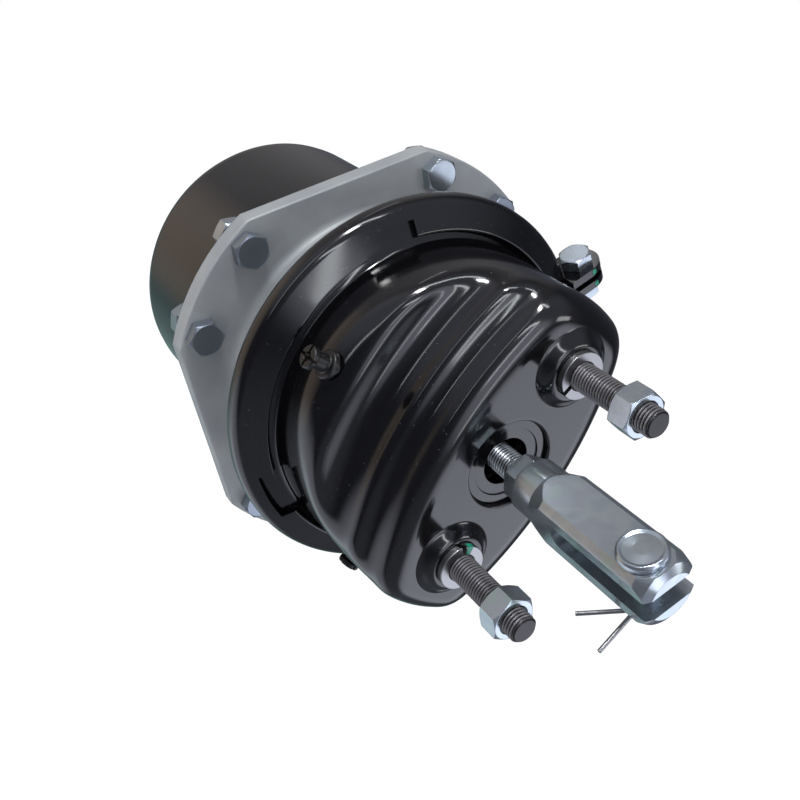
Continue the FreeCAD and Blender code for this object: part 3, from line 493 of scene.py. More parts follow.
def cut_off(place, normal, outer=True):
    """Cut the mesh in edit mode by a plane, close it there and clear what lies on one side."""
    bpy.ops.mesh.select_all(action="SELECT")
    bpy.ops.mesh.bisect(plane_co=place, plane_no=normal, use_fill=True,
                        clear_outer=outer, clear_inner=not outer)


def points_of(piece):
    """The points of a mesh as an array."""
    flat = np.zeros(len(piece.data.vertices) * 3)
    piece.data.vertices.foreach_get("co", flat)
    return flat.reshape(-1, 3)


def set_points(piece, points):
    """Write an array of points back into its mesh."""
    piece.data.vertices.foreach_set("co", points.reshape(-1))
    piece.data.update()


def cad(node):
    """The lowest and the highest corner of a solid, in millimetres."""
    low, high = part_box(node)
    return Vector(low) / MM, Vector(high) / MM


def show(piece, material, node, body="housing", angle=30.0):
    """Show a finished piece in place of a solid, on the same body."""
    settle(piece, material, angle)
    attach(piece, body)
    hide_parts(node)
    print(node, "faces", len(piece.data.polygons))
    return piece


def extra(piece, material, body="housing", angle=30.0):
    """Add a small piece to a solid that is already stood in for."""
    settle(piece, material, angle)
    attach(piece, body)


# %% [markdown]
# ## Rear cylinder
#
# The rear cylinder is a deep-drawn steel cup with a bolted rim, painted black. A turned profile
# gives its wall and its rounded end, and a plate cut from a disc by four planes gives the rim.

# %% Rear cylinder
FLANGE_TURN = 1.5
CUP_RADIUS = 98.5
CUP_WALL = 3.5
RIM_RADIUS = 129.5
RIM_FLAT = 115.5
RIM_THICK = 5.0
CUP_BACK = cad("rear_cylinder")[0].x
CUP_HOLE = 8.5
FLANGE_BACK = cad("middle_flange")[0].x
RIM_BACK = FLANGE_BACK - RIM_THICK


def square_plate(name, radius, flat, start, end, edge):
    """A disc with four flats, its edges bevelled."""
    plate = rod(name, radius, start, end, sides=360)
    bake(plate)
    bpy.ops.object.mode_set(mode="EDIT")
    for quarter in range(4):
        angle = math.radians(45.0 + FLANGE_TURN + 90.0 * quarter)
        normal = Vector((0.0, math.cos(angle), math.sin(angle)))
        cut_off(normal * flat * MM, normal)
    bpy.ops.object.mode_set(mode="OBJECT")
    ease(plate, edge, 3, 60.0)
    return plate


cup = turn("cup", [
    (FLANGE_BACK, CUP_RADIUS - CUP_WALL, 0.0),
    (FLANGE_BACK, CUP_RADIUS, 0.0),
    (CUP_BACK, CUP_RADIUS, 15.0),
    (CUP_BACK, CUP_HOLE, 0.5),
    (CUP_BACK + CUP_WALL, CUP_HOLE, 0.0),
    (CUP_BACK + CUP_WALL, CUP_RADIUS - CUP_WALL, 11.0),
], steps=192)
rim = square_plate("cylinder rim", RIM_RADIUS, RIM_FLAT, RIM_BACK, FLANGE_BACK - 0.02, 1.0)
carve(rim, rod("mouth", CUP_RADIUS - CUP_WALL / 2.0, RIM_BACK - 1.0, FLANGE_BACK + 1.0, sides=192))
show(join([rim, cup], "rear cylinder"), enamel, "rear_cylinder")

# %% [markdown]
# ## Middle flange
#
# One aluminium casting carries the plate, the round hub that the clamp grips, and the two air
# ports. The plate is bevelled, the hub's profile is turned with its fillet, and each port is a boss
# with a bored, threaded mouth.

# %% Middle flange
PLATE_RADIUS = 132.5
PLATE_FLAT = 118.5
PLATE_FRONT = -149.8
HUB_RADIUS = 96.0
HUB_FILLET = 9.0
HUB_FRONT = cad("middle_flange")[1].x
HUB_BACK = FLANGE_BACK + 2.0
BORE = 24.0
BUSH_SEAT = 26.0
BUSH_LENGTH = 5.0
POCKET_FLOOR = HUB_FRONT - 16.7
CLAMPED_RIM = 113.0
PORT_PLANE = -133.0
PORT_ROOT = 86.0
PORT_FLOOR = 89.0
PORT_REACH = 104.0
PORT_RADIUS = 13.0
PORT_BORE = 7.19
PORT_PITCH = 1.5
PORT_THREADS = 9

plate = square_plate("flange plate", PLATE_RADIUS, PLATE_FLAT, FLANGE_BACK, PLATE_FRONT, 1.2)
carve(plate, rod("plate bore", BORE, FLANGE_BACK - 1.0, PLATE_FRONT + 1.0, sides=192))
hub = turn("hub", [
    (HUB_BACK, 60.0, 0.0),
    (HUB_BACK, HUB_RADIUS + 6.0, 0.0),
    (PLATE_FRONT - 0.6, HUB_RADIUS + HUB_FILLET + 3.0, 0.0),
    (PLATE_FRONT + 0.02, HUB_RADIUS + HUB_FILLET + 2.0, 0.0),
    (PLATE_FRONT + 0.3, HUB_RADIUS, HUB_FILLET + 6.0),
    (HUB_FRONT - 14.0, HUB_RADIUS, 2.0),
    (HUB_FRONT - 5.9, CLAMPED_RIM, 1.0),
    (HUB_FRONT, CLAMPED_RIM, 0.5),
    (HUB_FRONT, 90.0, 2.0),
    (POCKET_FLOOR, 72.0, 3.0),
    (POCKET_FLOOR, BUSH_SEAT, 0.0),
    (POCKET_FLOOR - BUSH_LENGTH, BUSH_SEAT, 0.0),
    (POCKET_FLOOR - BUSH_LENGTH, BORE, 0.0),
    (HUB_BACK, BORE, 0.0),
], steps=192)


def port(name, turn_deg):
    """An air port's boss: a short tube with a bevelled mouth and a cut thread."""
    rings = []
    for step in range(PORT_THREADS):
        depth = PORT_REACH - 2.0 - PORT_PITCH * step
        rings += [(depth, PORT_BORE + 0.1, 0.0), (depth - PORT_PITCH / 2.0, PORT_BORE + 0.8, 0.0)]
    boss = turn(name, [
        (PORT_ROOT, 0.0, 0.0), (PORT_ROOT, PORT_RADIUS, 0.0), (PORT_REACH, PORT_RADIUS, 0.8),
        (PORT_REACH, PORT_BORE + 1.3, 0.0), *rings, (PORT_FLOOR, PORT_BORE, 0.0),
        (PORT_FLOOR, 0.0, 0.0)], steps=64)
    return stood_out(boss, PORT_PLANE, turn_deg)


ports = [port("service port", 0.0), port("parking port", -90.0)]
show(join([plate, hub, *ports], "middle flange"), casting, "middle_flange")

# %% [markdown]
# ## Clamp ring
#
# The clamp is a rolled steel band of V section that draws the two rims together. Its front leg has
# notches that let it bend, and two lugs carry a bolt that closes it. The notches are cut by wedges
# of a ring.

# %% Clamp ring
CLAMP_PLANE = -103.5
CLAMP_TURN = 57.0
CLAMP_INNER = 102.0
CLAMP_OUTER = 119.5
CLAMP_SHEET = 3.5
LEG_FRONT = -89.15
BOLT_LINE = CLAMP_OUTER + 13.5
LUG_RADIUS = 14.5
LUG_GAP = 4.0
LUG_THICK = 5.0
LUG_TOP = LUG_GAP / 2.0 + LUG_THICK
NOTCH_OUTER = 111.0
NOTCH_HALF = 9.0
NOTCHES = (82.0, 180.0, -82.0)
RING_STEPS = 256


def mirrored_leg(points):
    """A profile's front half followed by its reflection behind the clamp's middle plane."""
    return points + [(2.0 * CLAMP_PLANE - x, r, corner) for x, r, corner in reversed(points)]


def wedge(name, middle_deg, half_deg, inner, outer, start, end):
    """A part of a ring between two planes through the axis."""
    ring = turn(name, [
        (start, inner, 0.0), (start, outer, 0.0), (end, outer, 0.0), (end, inner, 0.0)], RING_STEPS)
    choose(ring)
    bpy.ops.object.mode_set(mode="EDIT")
    for side in (-1.0, 1.0):
        edge = math.radians(middle_deg + side * half_deg)
        cut_off((0.0, 0.0, 0.0), Vector((0.0, -math.sin(edge), math.cos(edge))) * side)
    # the two planes also pass the far side, so whatever lies behind the axis is cleared
    middle = math.radians(middle_deg)
    cut_off((0.0, 0.0, 0.0), Vector((0.0, math.cos(middle), math.sin(middle))), outer=False)
    bpy.ops.object.mode_set(mode="OBJECT")
    return ring


def block(name, low, high):
    """A box between two corners, in millimetres."""
    middle = [(a + b) / 2.0 * MM for a, b in zip(low, high)]
    size = [(b - a) * MM for a, b in zip(low, high)]
    bpy.ops.object.select_all(action="DESELECT")
    bpy.ops.mesh.primitive_cube_add(size=1.0, location=middle, scale=size)
    piece = bpy.context.object
    piece.name = name
    bake(piece)
    return piece


outer_side = mirrored_leg([
    (LEG_FRONT, CLAMP_INNER, 1.4), (LEG_FRONT - 8.75, CLAMP_OUTER, 7.0)])
inner_side = mirrored_leg([
    (LEG_FRONT - 3.7, CLAMP_INNER, 1.0), (LEG_FRONT - 10.7, CLAMP_OUTER - CLAMP_SHEET, 2.0)])
band = turn("clamp band", outer_side + list(reversed(inner_side)), RING_STEPS)
for notch_deg in NOTCHES:
    carve(band, wedge("notch", CLAMP_TURN + notch_deg, NOTCH_HALF, CLAMP_INNER - 6.0, NOTCH_OUTER,
                      LEG_FRONT - 11.0, LEG_FRONT + 6.0))
split_half = math.degrees(LUG_GAP / 2.0 / CLAMP_OUTER)
carve(band, wedge("split", CLAMP_TURN, split_half, CLAMP_INNER - 6.0, CLAMP_OUTER + 4.0,
                  2.0 * CLAMP_PLANE - LEG_FRONT - 4.0, LEG_FRONT + 4.0))

lugs = []
for side in (-1.0, 1.0):
    near, far = sorted((side * LUG_GAP / 2.0, side * LUG_TOP))
    lug = rod("lug", LUG_RADIUS, near, far, CLAMP_PLANE, BOLT_LINE, 64, along="Z")
    carve(lug, block("lug root", (CLAMP_PLANE - LUG_RADIUS + 0.01, CLAMP_OUTER - 1.7, near),
                     (CLAMP_PLANE + LUG_RADIUS - 0.01, BOLT_LINE, far)), "UNION")
    ease(lug, 1.0, 3, 50.0)
    lugs.append(turned_about_axis(lug, CLAMP_TURN))
show(join(lugs + [band], "clamp ring"), enamel, "clamp_band", angle=40.0)

# %% [markdown]
# ## Front housing
#
# The housing is deep-drawn from sheet steel. Two flanks slope back from the face to the round drum,
# and long valleys are pressed into each flank to stiffen it. It could be cut from solids, but a
# press leaves every edge soft, so the skin is a grid laid on one smooth form: rays from inside find
# where each of its points lies.

# %% Front housing
FACE = -6.0
DRUM = 97.0
NOSE_HIGH = 18.0
NOSE_LOW = 10.0
HALF_WIDTH = 46.0
FLANK_ARC = 210.0
FLANK_RISE = (DRUM - HALF_WIDTH) / 54.5
FLANK_SLANT = math.sqrt(1.0 + FLANK_RISE ** 2)
VALLEYS = ((16.4, 9.5, 30.5), (8.0, 5.0, 13.6))
VALLEY_SOFT = 6.5
SHOULDER_SOFT = 7.0
WALL = 3.2
RAY_CENTRE = -62.0
MOUTH_RADIUS = 28.0


def soft_max(first, second, width):
    """The larger of two distances, with the crease between them rounded."""
    share = np.maximum(width - np.abs(first - second), 0.0) / width
    return np.maximum(first, second) + share * share * width / 4.0


def outside_by(x, y, z):
    """How far a point lies outside the pressed form, in millimetres."""
    upper = np.clip(z / 80.0 + 0.5, 0.0, 1.0)
    nose = NOSE_LOW + (NOSE_HIGH - NOSE_LOW) * upper
    over_r = np.hypot(y, z) - (DRUM - nose)
    over_x = x - (FACE - nose)
    drum = np.hypot(np.maximum(over_r, 0.0), np.maximum(over_x, 0.0)) - nose
    outside = drum + np.minimum(np.maximum(over_r, over_x), 0.0)
    for side in (-1.0, 1.0):
        far = np.hypot(y - side * (FLANK_ARC - HALF_WIDTH), z)
        flank = (far - FLANK_ARC - FLANK_RISE * (FACE - x)) / FLANK_SLANT
        for radius, sink, place in VALLEYS:
            stand = radius - sink
            groove = radius - np.hypot(far - FLANK_ARC - FLANK_RISE * place - stand / FLANK_SLANT,
                                       x - FACE + place - stand * FLANK_RISE / FLANK_SLANT)
            flank = soft_max(flank, groove, VALLEY_SOFT)
        outside = soft_max(outside, flank, SHOULDER_SOFT)
    return outside


def reach(start, way, around):
    """How far each ray runs from the inside to the form."""
    low = np.full(around.shape, 20.0)
    high = np.full(around.shape, 180.0)
    for _ in range(36):
        middle = (low + high) / 2.0
        r = middle * way[1]
        inside = outside_by(start + middle * way[0], r * np.cos(around), r * np.sin(around)) < 0.0
        low = np.where(inside, middle, low)
        high = np.where(inside, high, middle)
    return low


COLUMNS = 420
FAN_ROWS = 122
STRAIGHT_ROWS = 9
STRAIGHT_END = -86.0
FLARE = (
    (-88.0, 97.0), (-89.6, 97.2), (-90.8, 98.0), (-92.0, 99.8), (-93.5, 102.6), (-98.2, 112.2),
    (-98.5, 112.8), (-98.9, 113.0), (-101.6, 113.0), (-101.8, 112.8), (-96.3, 101.9), (-93.6, 95.0),
    (-90.0, 93.8),
)
around = np.linspace(0.0, math.tau, COLUMNS)
rows = []
mouth = math.atan2(MOUTH_RADIUS, FACE - RAY_CENTRE)
fan = [(RAY_CENTRE, (math.cos(a), math.sin(a))) for a in np.linspace(mouth, QUARTER, FAN_ROWS)]
straight = [(x, (0.0, 1.0)) for x in np.linspace(RAY_CENTRE - 2.0, STRAIGHT_END, STRAIGHT_ROWS)]
for start, way in fan + straight:
    distance = reach(start, way, around)
    rows.append((start + distance * way[0], distance * way[1]))
for x, r in FLARE:
    rows.append((np.full(COLUMNS, x), np.full(COLUMNS, r)))
# the way back inside the skin needs fewer rows, since nobody looks there closely
for start, way in list(reversed(straight))[1::3] + list(reversed(fan))[::6]:
    distance = reach(start, way, around) - WALL
    rows.append((start + distance * way[0], distance * way[1]))
rows.append(rows[0])
bpy.ops.object.select_all(action="DESELECT")
bpy.ops.mesh.primitive_grid_add(
    x_subdivisions=len(rows) - 1, y_subdivisions=COLUMNS - 1, size=2.0)
skin = bpy.context.object
skin.name = "front housing"
grid = points_of(skin)
row_of = np.rint((grid[:, 0] + 1.0) / 2.0 * (len(rows) - 1)).astype(int)
column_of = np.rint((grid[:, 1] + 1.0) / 2.0 * (COLUMNS - 1)).astype(int)
out_x = np.array([row[0] for row in rows])[row_of, column_of]
out_r = np.array([row[1] for row in rows])[row_of, column_of]
turns = around[column_of]
set_points(skin, np.stack([out_x, out_r * np.cos(turns), out_r * np.sin(turns)], axis=1) * MM)
facing(skin)
print("skin rows", len(rows), "columns", COLUMNS)

# %% Recess and stud bosses
STUD_PLACES = (STUD_OFFSET, -STUD_OFFSET)
RECESS_RADIUS = 26.0
RECESS_STEP = 22.0
RECESS_FLOOR = -11.6
RECESS_BACK = -13.4
BOSS_TOP = -0.02
BOSS_BACK = -12.0
STUD_HOLE = 8.3
MOUND_TOP = 14.5
MOUND_FOOT = 24.5
MOUND_STEPS = 14


def follow_skin(boss, place):
    """Let a boss's skirt sink with the skin where that falls away from the flat face."""
    bake(boss)
    points = points_of(boss) / MM
    low = np.full(len(points), FACE - 24.0)
    high = np.full(len(points), FACE + 2.0)
    for _ in range(30):
        middle = (low + high) / 2.0
        inside = outside_by(middle, points[:, 1], points[:, 2]) < 0.0
        low = np.where(inside, middle, low)
        high = np.where(inside, high, middle)
    share = np.clip((np.hypot(points[:, 1], points[:, 2] - place) - 13.5) / 4.0, 0.0, 1.0)
    points[:, 0] += np.minimum(low - FACE, 0.0) * share
    set_points(boss, points * MM)
    return boss


recess = turn("recess", [
    (FACE + 0.03, RECESS_RADIUS + 4.0, 0.0), (FACE + 0.03, RECESS_RADIUS, 2.6),
    (RECESS_FLOOR, RECESS_RADIUS, 1.0), (RECESS_FLOOR, RECESS_STEP, 0.4),
    (RECESS_BACK, RECESS_STEP, 0.4), (RECESS_BACK, RECESS_RADIUS + 4.0, 0.0)])
slope = []
for step in range(MOUND_STEPS + 1):
    share = step / MOUND_STEPS
    height = BOSS_TOP + (FACE - 0.2) * (0.5 - 0.5 * math.cos(math.pi * share))
    slope.append((height, MOUND_TOP + (MOUND_FOOT - MOUND_TOP) * share, 0.0))
bosses = []
for z in STUD_PLACES:
    boss = turn("stud boss", [
        (BOSS_BACK, STUD_HOLE, 0.0), (BOSS_TOP, STUD_HOLE, 0.0), *slope,
        (BOSS_BACK, MOUND_FOOT, 0.0)], steps=96)
    bosses.append(follow_skin(moved(boss, z=z), z))
show(join([recess] + bosses + [skin], "front housing"), enamel, "front_housing", angle=50.0)

# %% [markdown]
# ## Guide plate and breathers
#
# A stepped ring closes the recess round the pushrod, and rubber plugs let the space behind it
# breathe. Both are round, so both are turned; the plugs' slots are then cut.

# %% Guide plate and breathers
PLATE_HOLE = 14.0
PLATE_STEP = 20.5
PLATE_EDGE = 25.9
BREATHER_PLANE = -61.0
STEM = 4.8
LIP = 8.0
MOUTH = 2.6

ring_plate = turn("guide plate", [
    (-11.0, PLATE_HOLE, 0.3), (-11.0, PLATE_EDGE, 0.3), (-9.0, PLATE_EDGE, 0.6),
    (-9.0, PLATE_STEP, 0.5), (-10.0, PLATE_STEP, 0.3), (-10.0, PLATE_HOLE, 0.5)])
show(ring_plate, enamel, "guide_plate")


def breather(name, turn_deg, tip):
    """A plug whose stem stands out from the drum, with a lip and a slotted mouth."""
    plug = turn(name, [
        (90.0, 0.0, 0.0), (90.0, STEM, 0.0), (96.0, STEM, 0.0), (96.0, LIP, 0.5),
        (99.6, LIP, 1.4), (99.6, STEM + 0.1, 1.0), (tip - 3.8, STEM + 0.1, 0.8),
        (tip - 3.0, 6.4, 0.8), (tip, 6.3, 1.2), (tip, MOUTH, 0.4), (tip - 4.0, MOUTH, 0.0),
        (tip - 4.0, 0.0, 0.0)], steps=64)
    for slot_deg in (0.0, 90.0):
        slit = block("slot", (tip - 3.0, -0.8, -8.0), (tip + 2.0, 0.8, 8.0))
        slit.rotation_euler = (math.radians(slot_deg), 0.0, 0.0)
        carve(plug, slit)
    return stood_out(plug, BREATHER_PLANE, turn_deg)


plugs = [breather("side breather", 180.0, 111.4), breather("low breather", 264.0, 106.0)]
show(join(plugs, "breathers"), rubber, "breather_plugs")

# %% [markdown]
# ## Studs, washers and nuts
#
# The studs are rolled with a coarse thread along their whole length and left dark. A grid rolled
# into a tube has its rows pressed in along a helix, which is close to how thread rolling works.

# %% Studs, lock washers and nuts
STUD_TIP = cad("mounting_studs")[1].x
M16_RADIUS = 8.0
M16_PITCH = 2.0
M16_FLATS = 24.0
WASHER_RADIUS = 13.7
WASHER_TOP = 3.95
SLITS = (255.0, 130.0)
STUD_NUT_BACK = 36.0
STUD_NUT_FRONT = 49.6
NUT_TURNS = (51.0, 13.0)
DAB_DEG = 105.0
DAB_HALF = 8.0
DAB_RADIUS = 13.9

studs = []
for z in STUD_PLACES:
    stud = threaded("stud", M16_RADIUS, -1.0, STUD_TIP, M16_PITCH, 1.15, 1.6, 64)
    studs.append(moved(stud, z=z))
show(join(studs, "studs"), stud_thread, "mounting_studs", angle=60.0)


def lock_washer(name, slit_deg):
    """A square-section spring ring, cut through at a slant."""
    ring = turn(name, [
        (0.02, STUD_HOLE, 0.5), (0.02, WASHER_RADIUS, 0.5), (WASHER_TOP, WASHER_RADIUS, 0.5),
        (WASHER_TOP, STUD_HOLE, 0.5)], steps=96)
    slit = block("slit", (-2.0, 4.0, -1.3), (6.0, 18.0, 1.3))
    slit.rotation_euler = (math.radians(slit_deg), 0.0, 0.0)
    slit.rotation_euler.rotate_axis("Y", math.radians(25.0))
    carve(ring, slit)
    return ring


washers = [moved(lock_washer("lock washer", slit_deg), z=z)
           for z, slit_deg in zip(STUD_PLACES, SLITS)]
show(join(washers, "lock washers"), steel, "stud_lock_washers")
top_stripe = wedge("stripe", DAB_DEG, DAB_HALF, STUD_HOLE + 0.5, DAB_RADIUS,
                   WASHER_TOP + 0.02, WASHER_TOP + 0.17)
rim_stripe = wedge("rim stripe", DAB_DEG, DAB_HALF, WASHER_RADIUS + 0.02, DAB_RADIUS,
                   1.2, WASHER_TOP + 0.17)
stripe = join([top_stripe, rim_stripe], "washer dab")
extra(moved(stripe, z=STUD_PLACES[1]), dab)
nuts = []
for z, turn_deg in zip(STUD_PLACES, NUT_TURNS):
    nut = hexagon("stud nut", M16_FLATS, STUD_NUT_BACK, STUD_NUT_FRONT, M16_RADIUS, turn_deg)
    nuts.append(moved(nut, z=z))
show(join(nuts, "stud nuts"), zinc, "stud_nuts")

# %% [markdown]
# ## Flange bolts
#
# Eight bolts in pairs hold the flange to the rear cylinder. Each place gets a head, a threaded tail
# and a nut of its own, turned as the wrench happened to leave it. Two nuts and other joints carry a
# dab of green paint from the final inspection.

# %% Flange bolts and nuts
BOLT_CIRCLE = 120.6
M12_RADIUS = 6.0
M12_PITCH = 1.75
M12_DEPTH = 0.9
M12_FLATS = 18.9
NUT_BORE = 6.05
PAIR_ANGLE = 13.4
HEAD_FRONT = cad("flange_bolts")[1].x
NUT_BACK = cad("flange_nuts")[0].x
TAIL = cad("flange_bolts")[0].x


def bolt_place(corner, side):
    """Where a flange bolt stands, as Y and Z in millimetres."""
    angle = math.radians(90.0 * corner + FLANGE_TURN + side * PAIR_ANGLE)
    return Vector((BOLT_CIRCLE * math.cos(angle), BOLT_CIRCLE * math.sin(angle)))


def shank(name, start, end):
    """The threaded part of a 12 mm bolt."""
    return threaded(name, M12_RADIUS, start, end, M12_PITCH, M12_DEPTH, 1.0, 32)


heads = []
tails = []
for corner in range(4):
    for side in (-1.0, 1.0):
        y, z = bolt_place(corner, side)
        spin_deg = random.Random(corner * 2 + side).uniform(0.0, 60.0)
        head = hexagon("flange bolt", M12_FLATS, PLATE_FRONT + 0.02, HEAD_FRONT, 0.0, spin_deg,
                       both_ends=False)
        tail = shank("flange bolt tail", TAIL, FLANGE_BACK)
        heads.append(moved(join([head, tail], "flange bolt"), y=y, z=z))
        nut = hexagon("flange nut", M12_FLATS, NUT_BACK, RIM_BACK - 0.02, NUT_BORE, spin_deg + 20.0)
        tails.append(moved(nut, y=y, z=z))
bolts = show(join(heads, "flange bolts"), bolt_zinc, "flange_bolts", angle=35.0)
show(join(tails, "flange nuts"), zinc, "flange_nuts")

# one bolt, at the top, is from another batch and has a paler plate
bolts.data.materials.append(zinc)
pale_place = bolt_place(1, 1.0) * MM
for face in bolts.data.polygons:
    if (face.center.yz - pale_place).length < M12_FLATS * MM:
        face.material_index = 1

dabs = []
for side in (-1.0, 1.0):
    y, z = bolt_place(2, side)
    smear = wedge("nut dab", 150.0, 80.0, NUT_BORE, 6.9, TAIL + 0.4, TAIL + 4.5)
    dabs.append(moved(smear, y=y, z=z))
extra(join(dabs, "nut dabs"), dab)

# %% Clamp bolt and nut
def across(piece):
    """Stand a piece made along X in the clamp's tangent, at the lugs."""
    piece.rotation_euler = (0.0, -QUARTER, 0.0)
    piece.location = (CLAMP_PLANE * MM, BOLT_LINE * MM, 0.0)
    return turned_about_axis(piece, CLAMP_TURN)


stripes = []
for low, high in ((3.0, 6.0), (-6.0, -3.0)):
    stripe = rod("lug stripe", LUG_RADIUS + 0.15, low, high, CLAMP_PLANE, BOLT_LINE, 96, along="Z")
    carve(stripe, rod("core", LUG_RADIUS + 0.02, low - 1.0, high + 1.0, CLAMP_PLANE, BOLT_LINE, 96,
                      along="Z"))
    carve(stripe, block("patch", (CLAMP_PLANE + 5.0, BOLT_LINE + 0.5, low - 1.0),
                        (CLAMP_PLANE + 16.0, BOLT_LINE + 3.7, high + 1.0)), "INTERSECT")
    stripes.append(stripe)
extra(turned_about_axis(join(stripes, "lug dab"), CLAMP_TURN), dab)

clamp_head = hexagon("clamp bolt head", M12_FLATS, LUG_TOP + 0.02, LUG_TOP + 7.5, both_ends=False)
clamp_shank = shank("clamp bolt shank", -LUG_TOP - 14.0, LUG_TOP + 1.0)
bake(clamp_head)
show(across(join([clamp_shank, clamp_head], "clamp bolt")), zinc, "clamp_bolt", angle=35.0)
clamp_nut = hexagon("clamp nut", M12_FLATS, -LUG_TOP - 10.0, -LUG_TOP - 0.02, NUT_BORE)
bake(clamp_nut)
show(across(clamp_nut), zinc, "clamp_nut")

# %% [markdown]
# ## Release bolt
#
# A bolt in the middle of the rear cylinder can pull the parking spring back by hand. Its nut is
# welded to the cylinder, and its head stands behind a washer.

# %% Release bolt
release_back, release_front = [corner.x for corner in cad("release_bolt")]
release = [
    hexagon("release bolt head", M16_FLATS, release_back, release_back + 10.0, 0.0, 30.0),
    rod("release bolt shank", M16_RADIUS, release_back + 9.0, release_front, sides=48),
    rod("release bolt ring", 11.5, release_front - 7.0, release_front, sides=48),
]
show(join(release, "release bolt"), zinc, "release_bolt", "release_bolt")
nut_back, nut_front = [corner.x for corner in cad("release_nut")]
show(hexagon("release nut", 30.0, nut_back, nut_front, 8.1, 30.0), enamel, "release_nut")

# %% [markdown]
# ## Pushrod and lock nut
#
# The pushrod is threaded where the lock nut and the clevis sit, and its thread shows in the recess.

# %% Pushrod and lock nut
THREAD_START = -56.0
LOCK_NUT_BACK = 4.02
LOCK_NUT_FRONT = 13.98
LOCK_NUT_TURN = 6.5

rod_back, rod_front = [corner.x for corner in cad("pushrod")]
plain_rod = rod("pushrod plain", M16_RADIUS - 0.1, rod_back, THREAD_START + 1.0)
thread_rod = threaded("pushrod thread", M16_RADIUS, THREAD_START, rod_front, M16_PITCH, 1.1,
                      sides=64)
show(join([plain_rod, thread_rod], "pushrod"), rod_thread, "pushrod", "pushrod", angle=60.0)
lock_nut = hexagon("lock nut", M16_FLATS, LOCK_NUT_BACK, LOCK_NUT_FRONT, M16_RADIUS + 0.05,
                   LOCK_NUT_TURN)
show(lock_nut, zinc, "lock_nut", "pushrod")

# %% [markdown]
# ## Clevis
#
# The clevis is machined from square bar: turned to a collar behind, rounded in front, slotted and
# cross-drilled. The piece is made in the same order, and a small bevel breaks its edges as a
# deburring tool would.

# %% Clevis
CLEVIS_TURN = 53.0
YOKE_END = cad("clevis")[1].x
YOKE_RADIUS = 19.6
COLLAR_BACK = 14.0
COLLAR_RADIUS = 15.5
SOCKET_RADIUS = 8.1
SOCKET_END = 36.0
HALF_ACROSS = 15.0
HALF_ALONG_PIN = 16.0
SLOT_ROOT = 52.5
SLOT_HALF = 6.5
PIN_PLACE = 96.0
PIN_RADIUS = 7.0
THROUGH = 30.0

yoke = turn("clevis", [
    (COLLAR_BACK + 0.02, SOCKET_RADIUS, 0.0), (COLLAR_BACK + 0.02, COLLAR_RADIUS, 1.5),
    (29.0, COLLAR_RADIUS, 0.6), (39.5, YOKE_RADIUS, 3.0), (YOKE_END - 8.0, YOKE_RADIUS, 3.0),
    (YOKE_END - 2.5, 17.1, 1.5), (YOKE_END, 12.6, 1.0), (YOKE_END, 0.0, 0.0),
    (SOCKET_END, 0.0, 0.0), (SOCKET_END, SOCKET_RADIUS, 0.0)], steps=120)
carve(yoke, block("square", (COLLAR_BACK - 1.0, -HALF_ACROSS, -HALF_ALONG_PIN),
                  (YOKE_END + 1.0, HALF_ACROSS, HALF_ALONG_PIN)), "INTERSECT")
carve(yoke, block("slot", (SLOT_ROOT, -THROUGH, -SLOT_HALF), (YOKE_END + 2.0, THROUGH, SLOT_HALF)))
carve(yoke, rod("slot root", SLOT_HALF, -THROUGH, THROUGH, SLOT_ROOT, along="Y"))
carve(yoke, rod("pin bore", PIN_RADIUS + 0.1, -THROUGH, THROUGH, PIN_PLACE, along="Z"))
ease(yoke, 1.3, 3, 28.0)
show(turned_about_axis(yoke, CLEVIS_TURN), zinc, "clevis", "pushrod", angle=35.0)

# %% [markdown]
# ## Clevis pin
#
# The pin is turned with a flat head whose edge stands up as a thin rim, as upsetting leaves it. Its
# cotter is bent wire that the solids already show well, so it stays as packed.

# %% Clevis pin
pin = turn("clevis pin", [
    (-22.5, 0.0, 0.0), (-22.5, PIN_RADIUS, 1.2), (16.02, PIN_RADIUS, 0.4), (16.02, 12.2, 0.7),
    (18.6, 12.2, 1.2), (20.0, 10.8, 0.9), (19.3, 9.0, 0.8), (19.8, 4.0, 4.0), (19.9, 0.0, 0.0)],
    steps=96)
pin.rotation_euler = (0.0, -QUARTER, 0.0)
pin.location = (PIN_PLACE * MM, 0.0, 0.0)
show(turned_about_axis(pin, CLEVIS_TURN), zinc, "clevis_pin", "clevis_pin")

# %% [markdown]
# ## Studio
#
# Everything round the chamber is white, as on a light table, and glossy paint needs something dark
# to reflect as well, or it looks grey all over. So a large dome that only reflections can see
# stands round it. It is dim like a room, with soft glows where the paint mirrors a wall, a table or
# the ceiling, and with a few bright windows that draw the long streaks. The floor keeps the
# chamber's shadow but isn't mirrored.

# %% Backdrop and floor
AMBIENT = 0.5
WHITE = (1.0, 1.0, 1.0, 1.0)
FLOOR_DROP = 0.10
FLOOR_SIZE = 40.0
GLOW_SHARE = 0.75
GLOW = 1.2

world = bpy.data.worlds.new("studio")
bpy.context.scene.world = world
world.use_nodes = True
tree = world.node_tree
background = tree.nodes["Background"]
background.inputs["Color"].default_value = WHITE
rays = add_node(tree, "ShaderNodeLightPath")
seen = maths(tree, "MAXIMUM", rays.outputs["Is Camera Ray"], rays.outputs["Is Glossy Ray"])
seen = maths(tree, "MAXIMUM", seen, rays.outputs["Is Transmission Ray"])
strength = add_node(tree, "ShaderNodeMapRange", {"To Min": AMBIENT, "To Max": 1.0}, Value=seen)
tree.links.new(strength.outputs["Result"], background.inputs["Strength"])

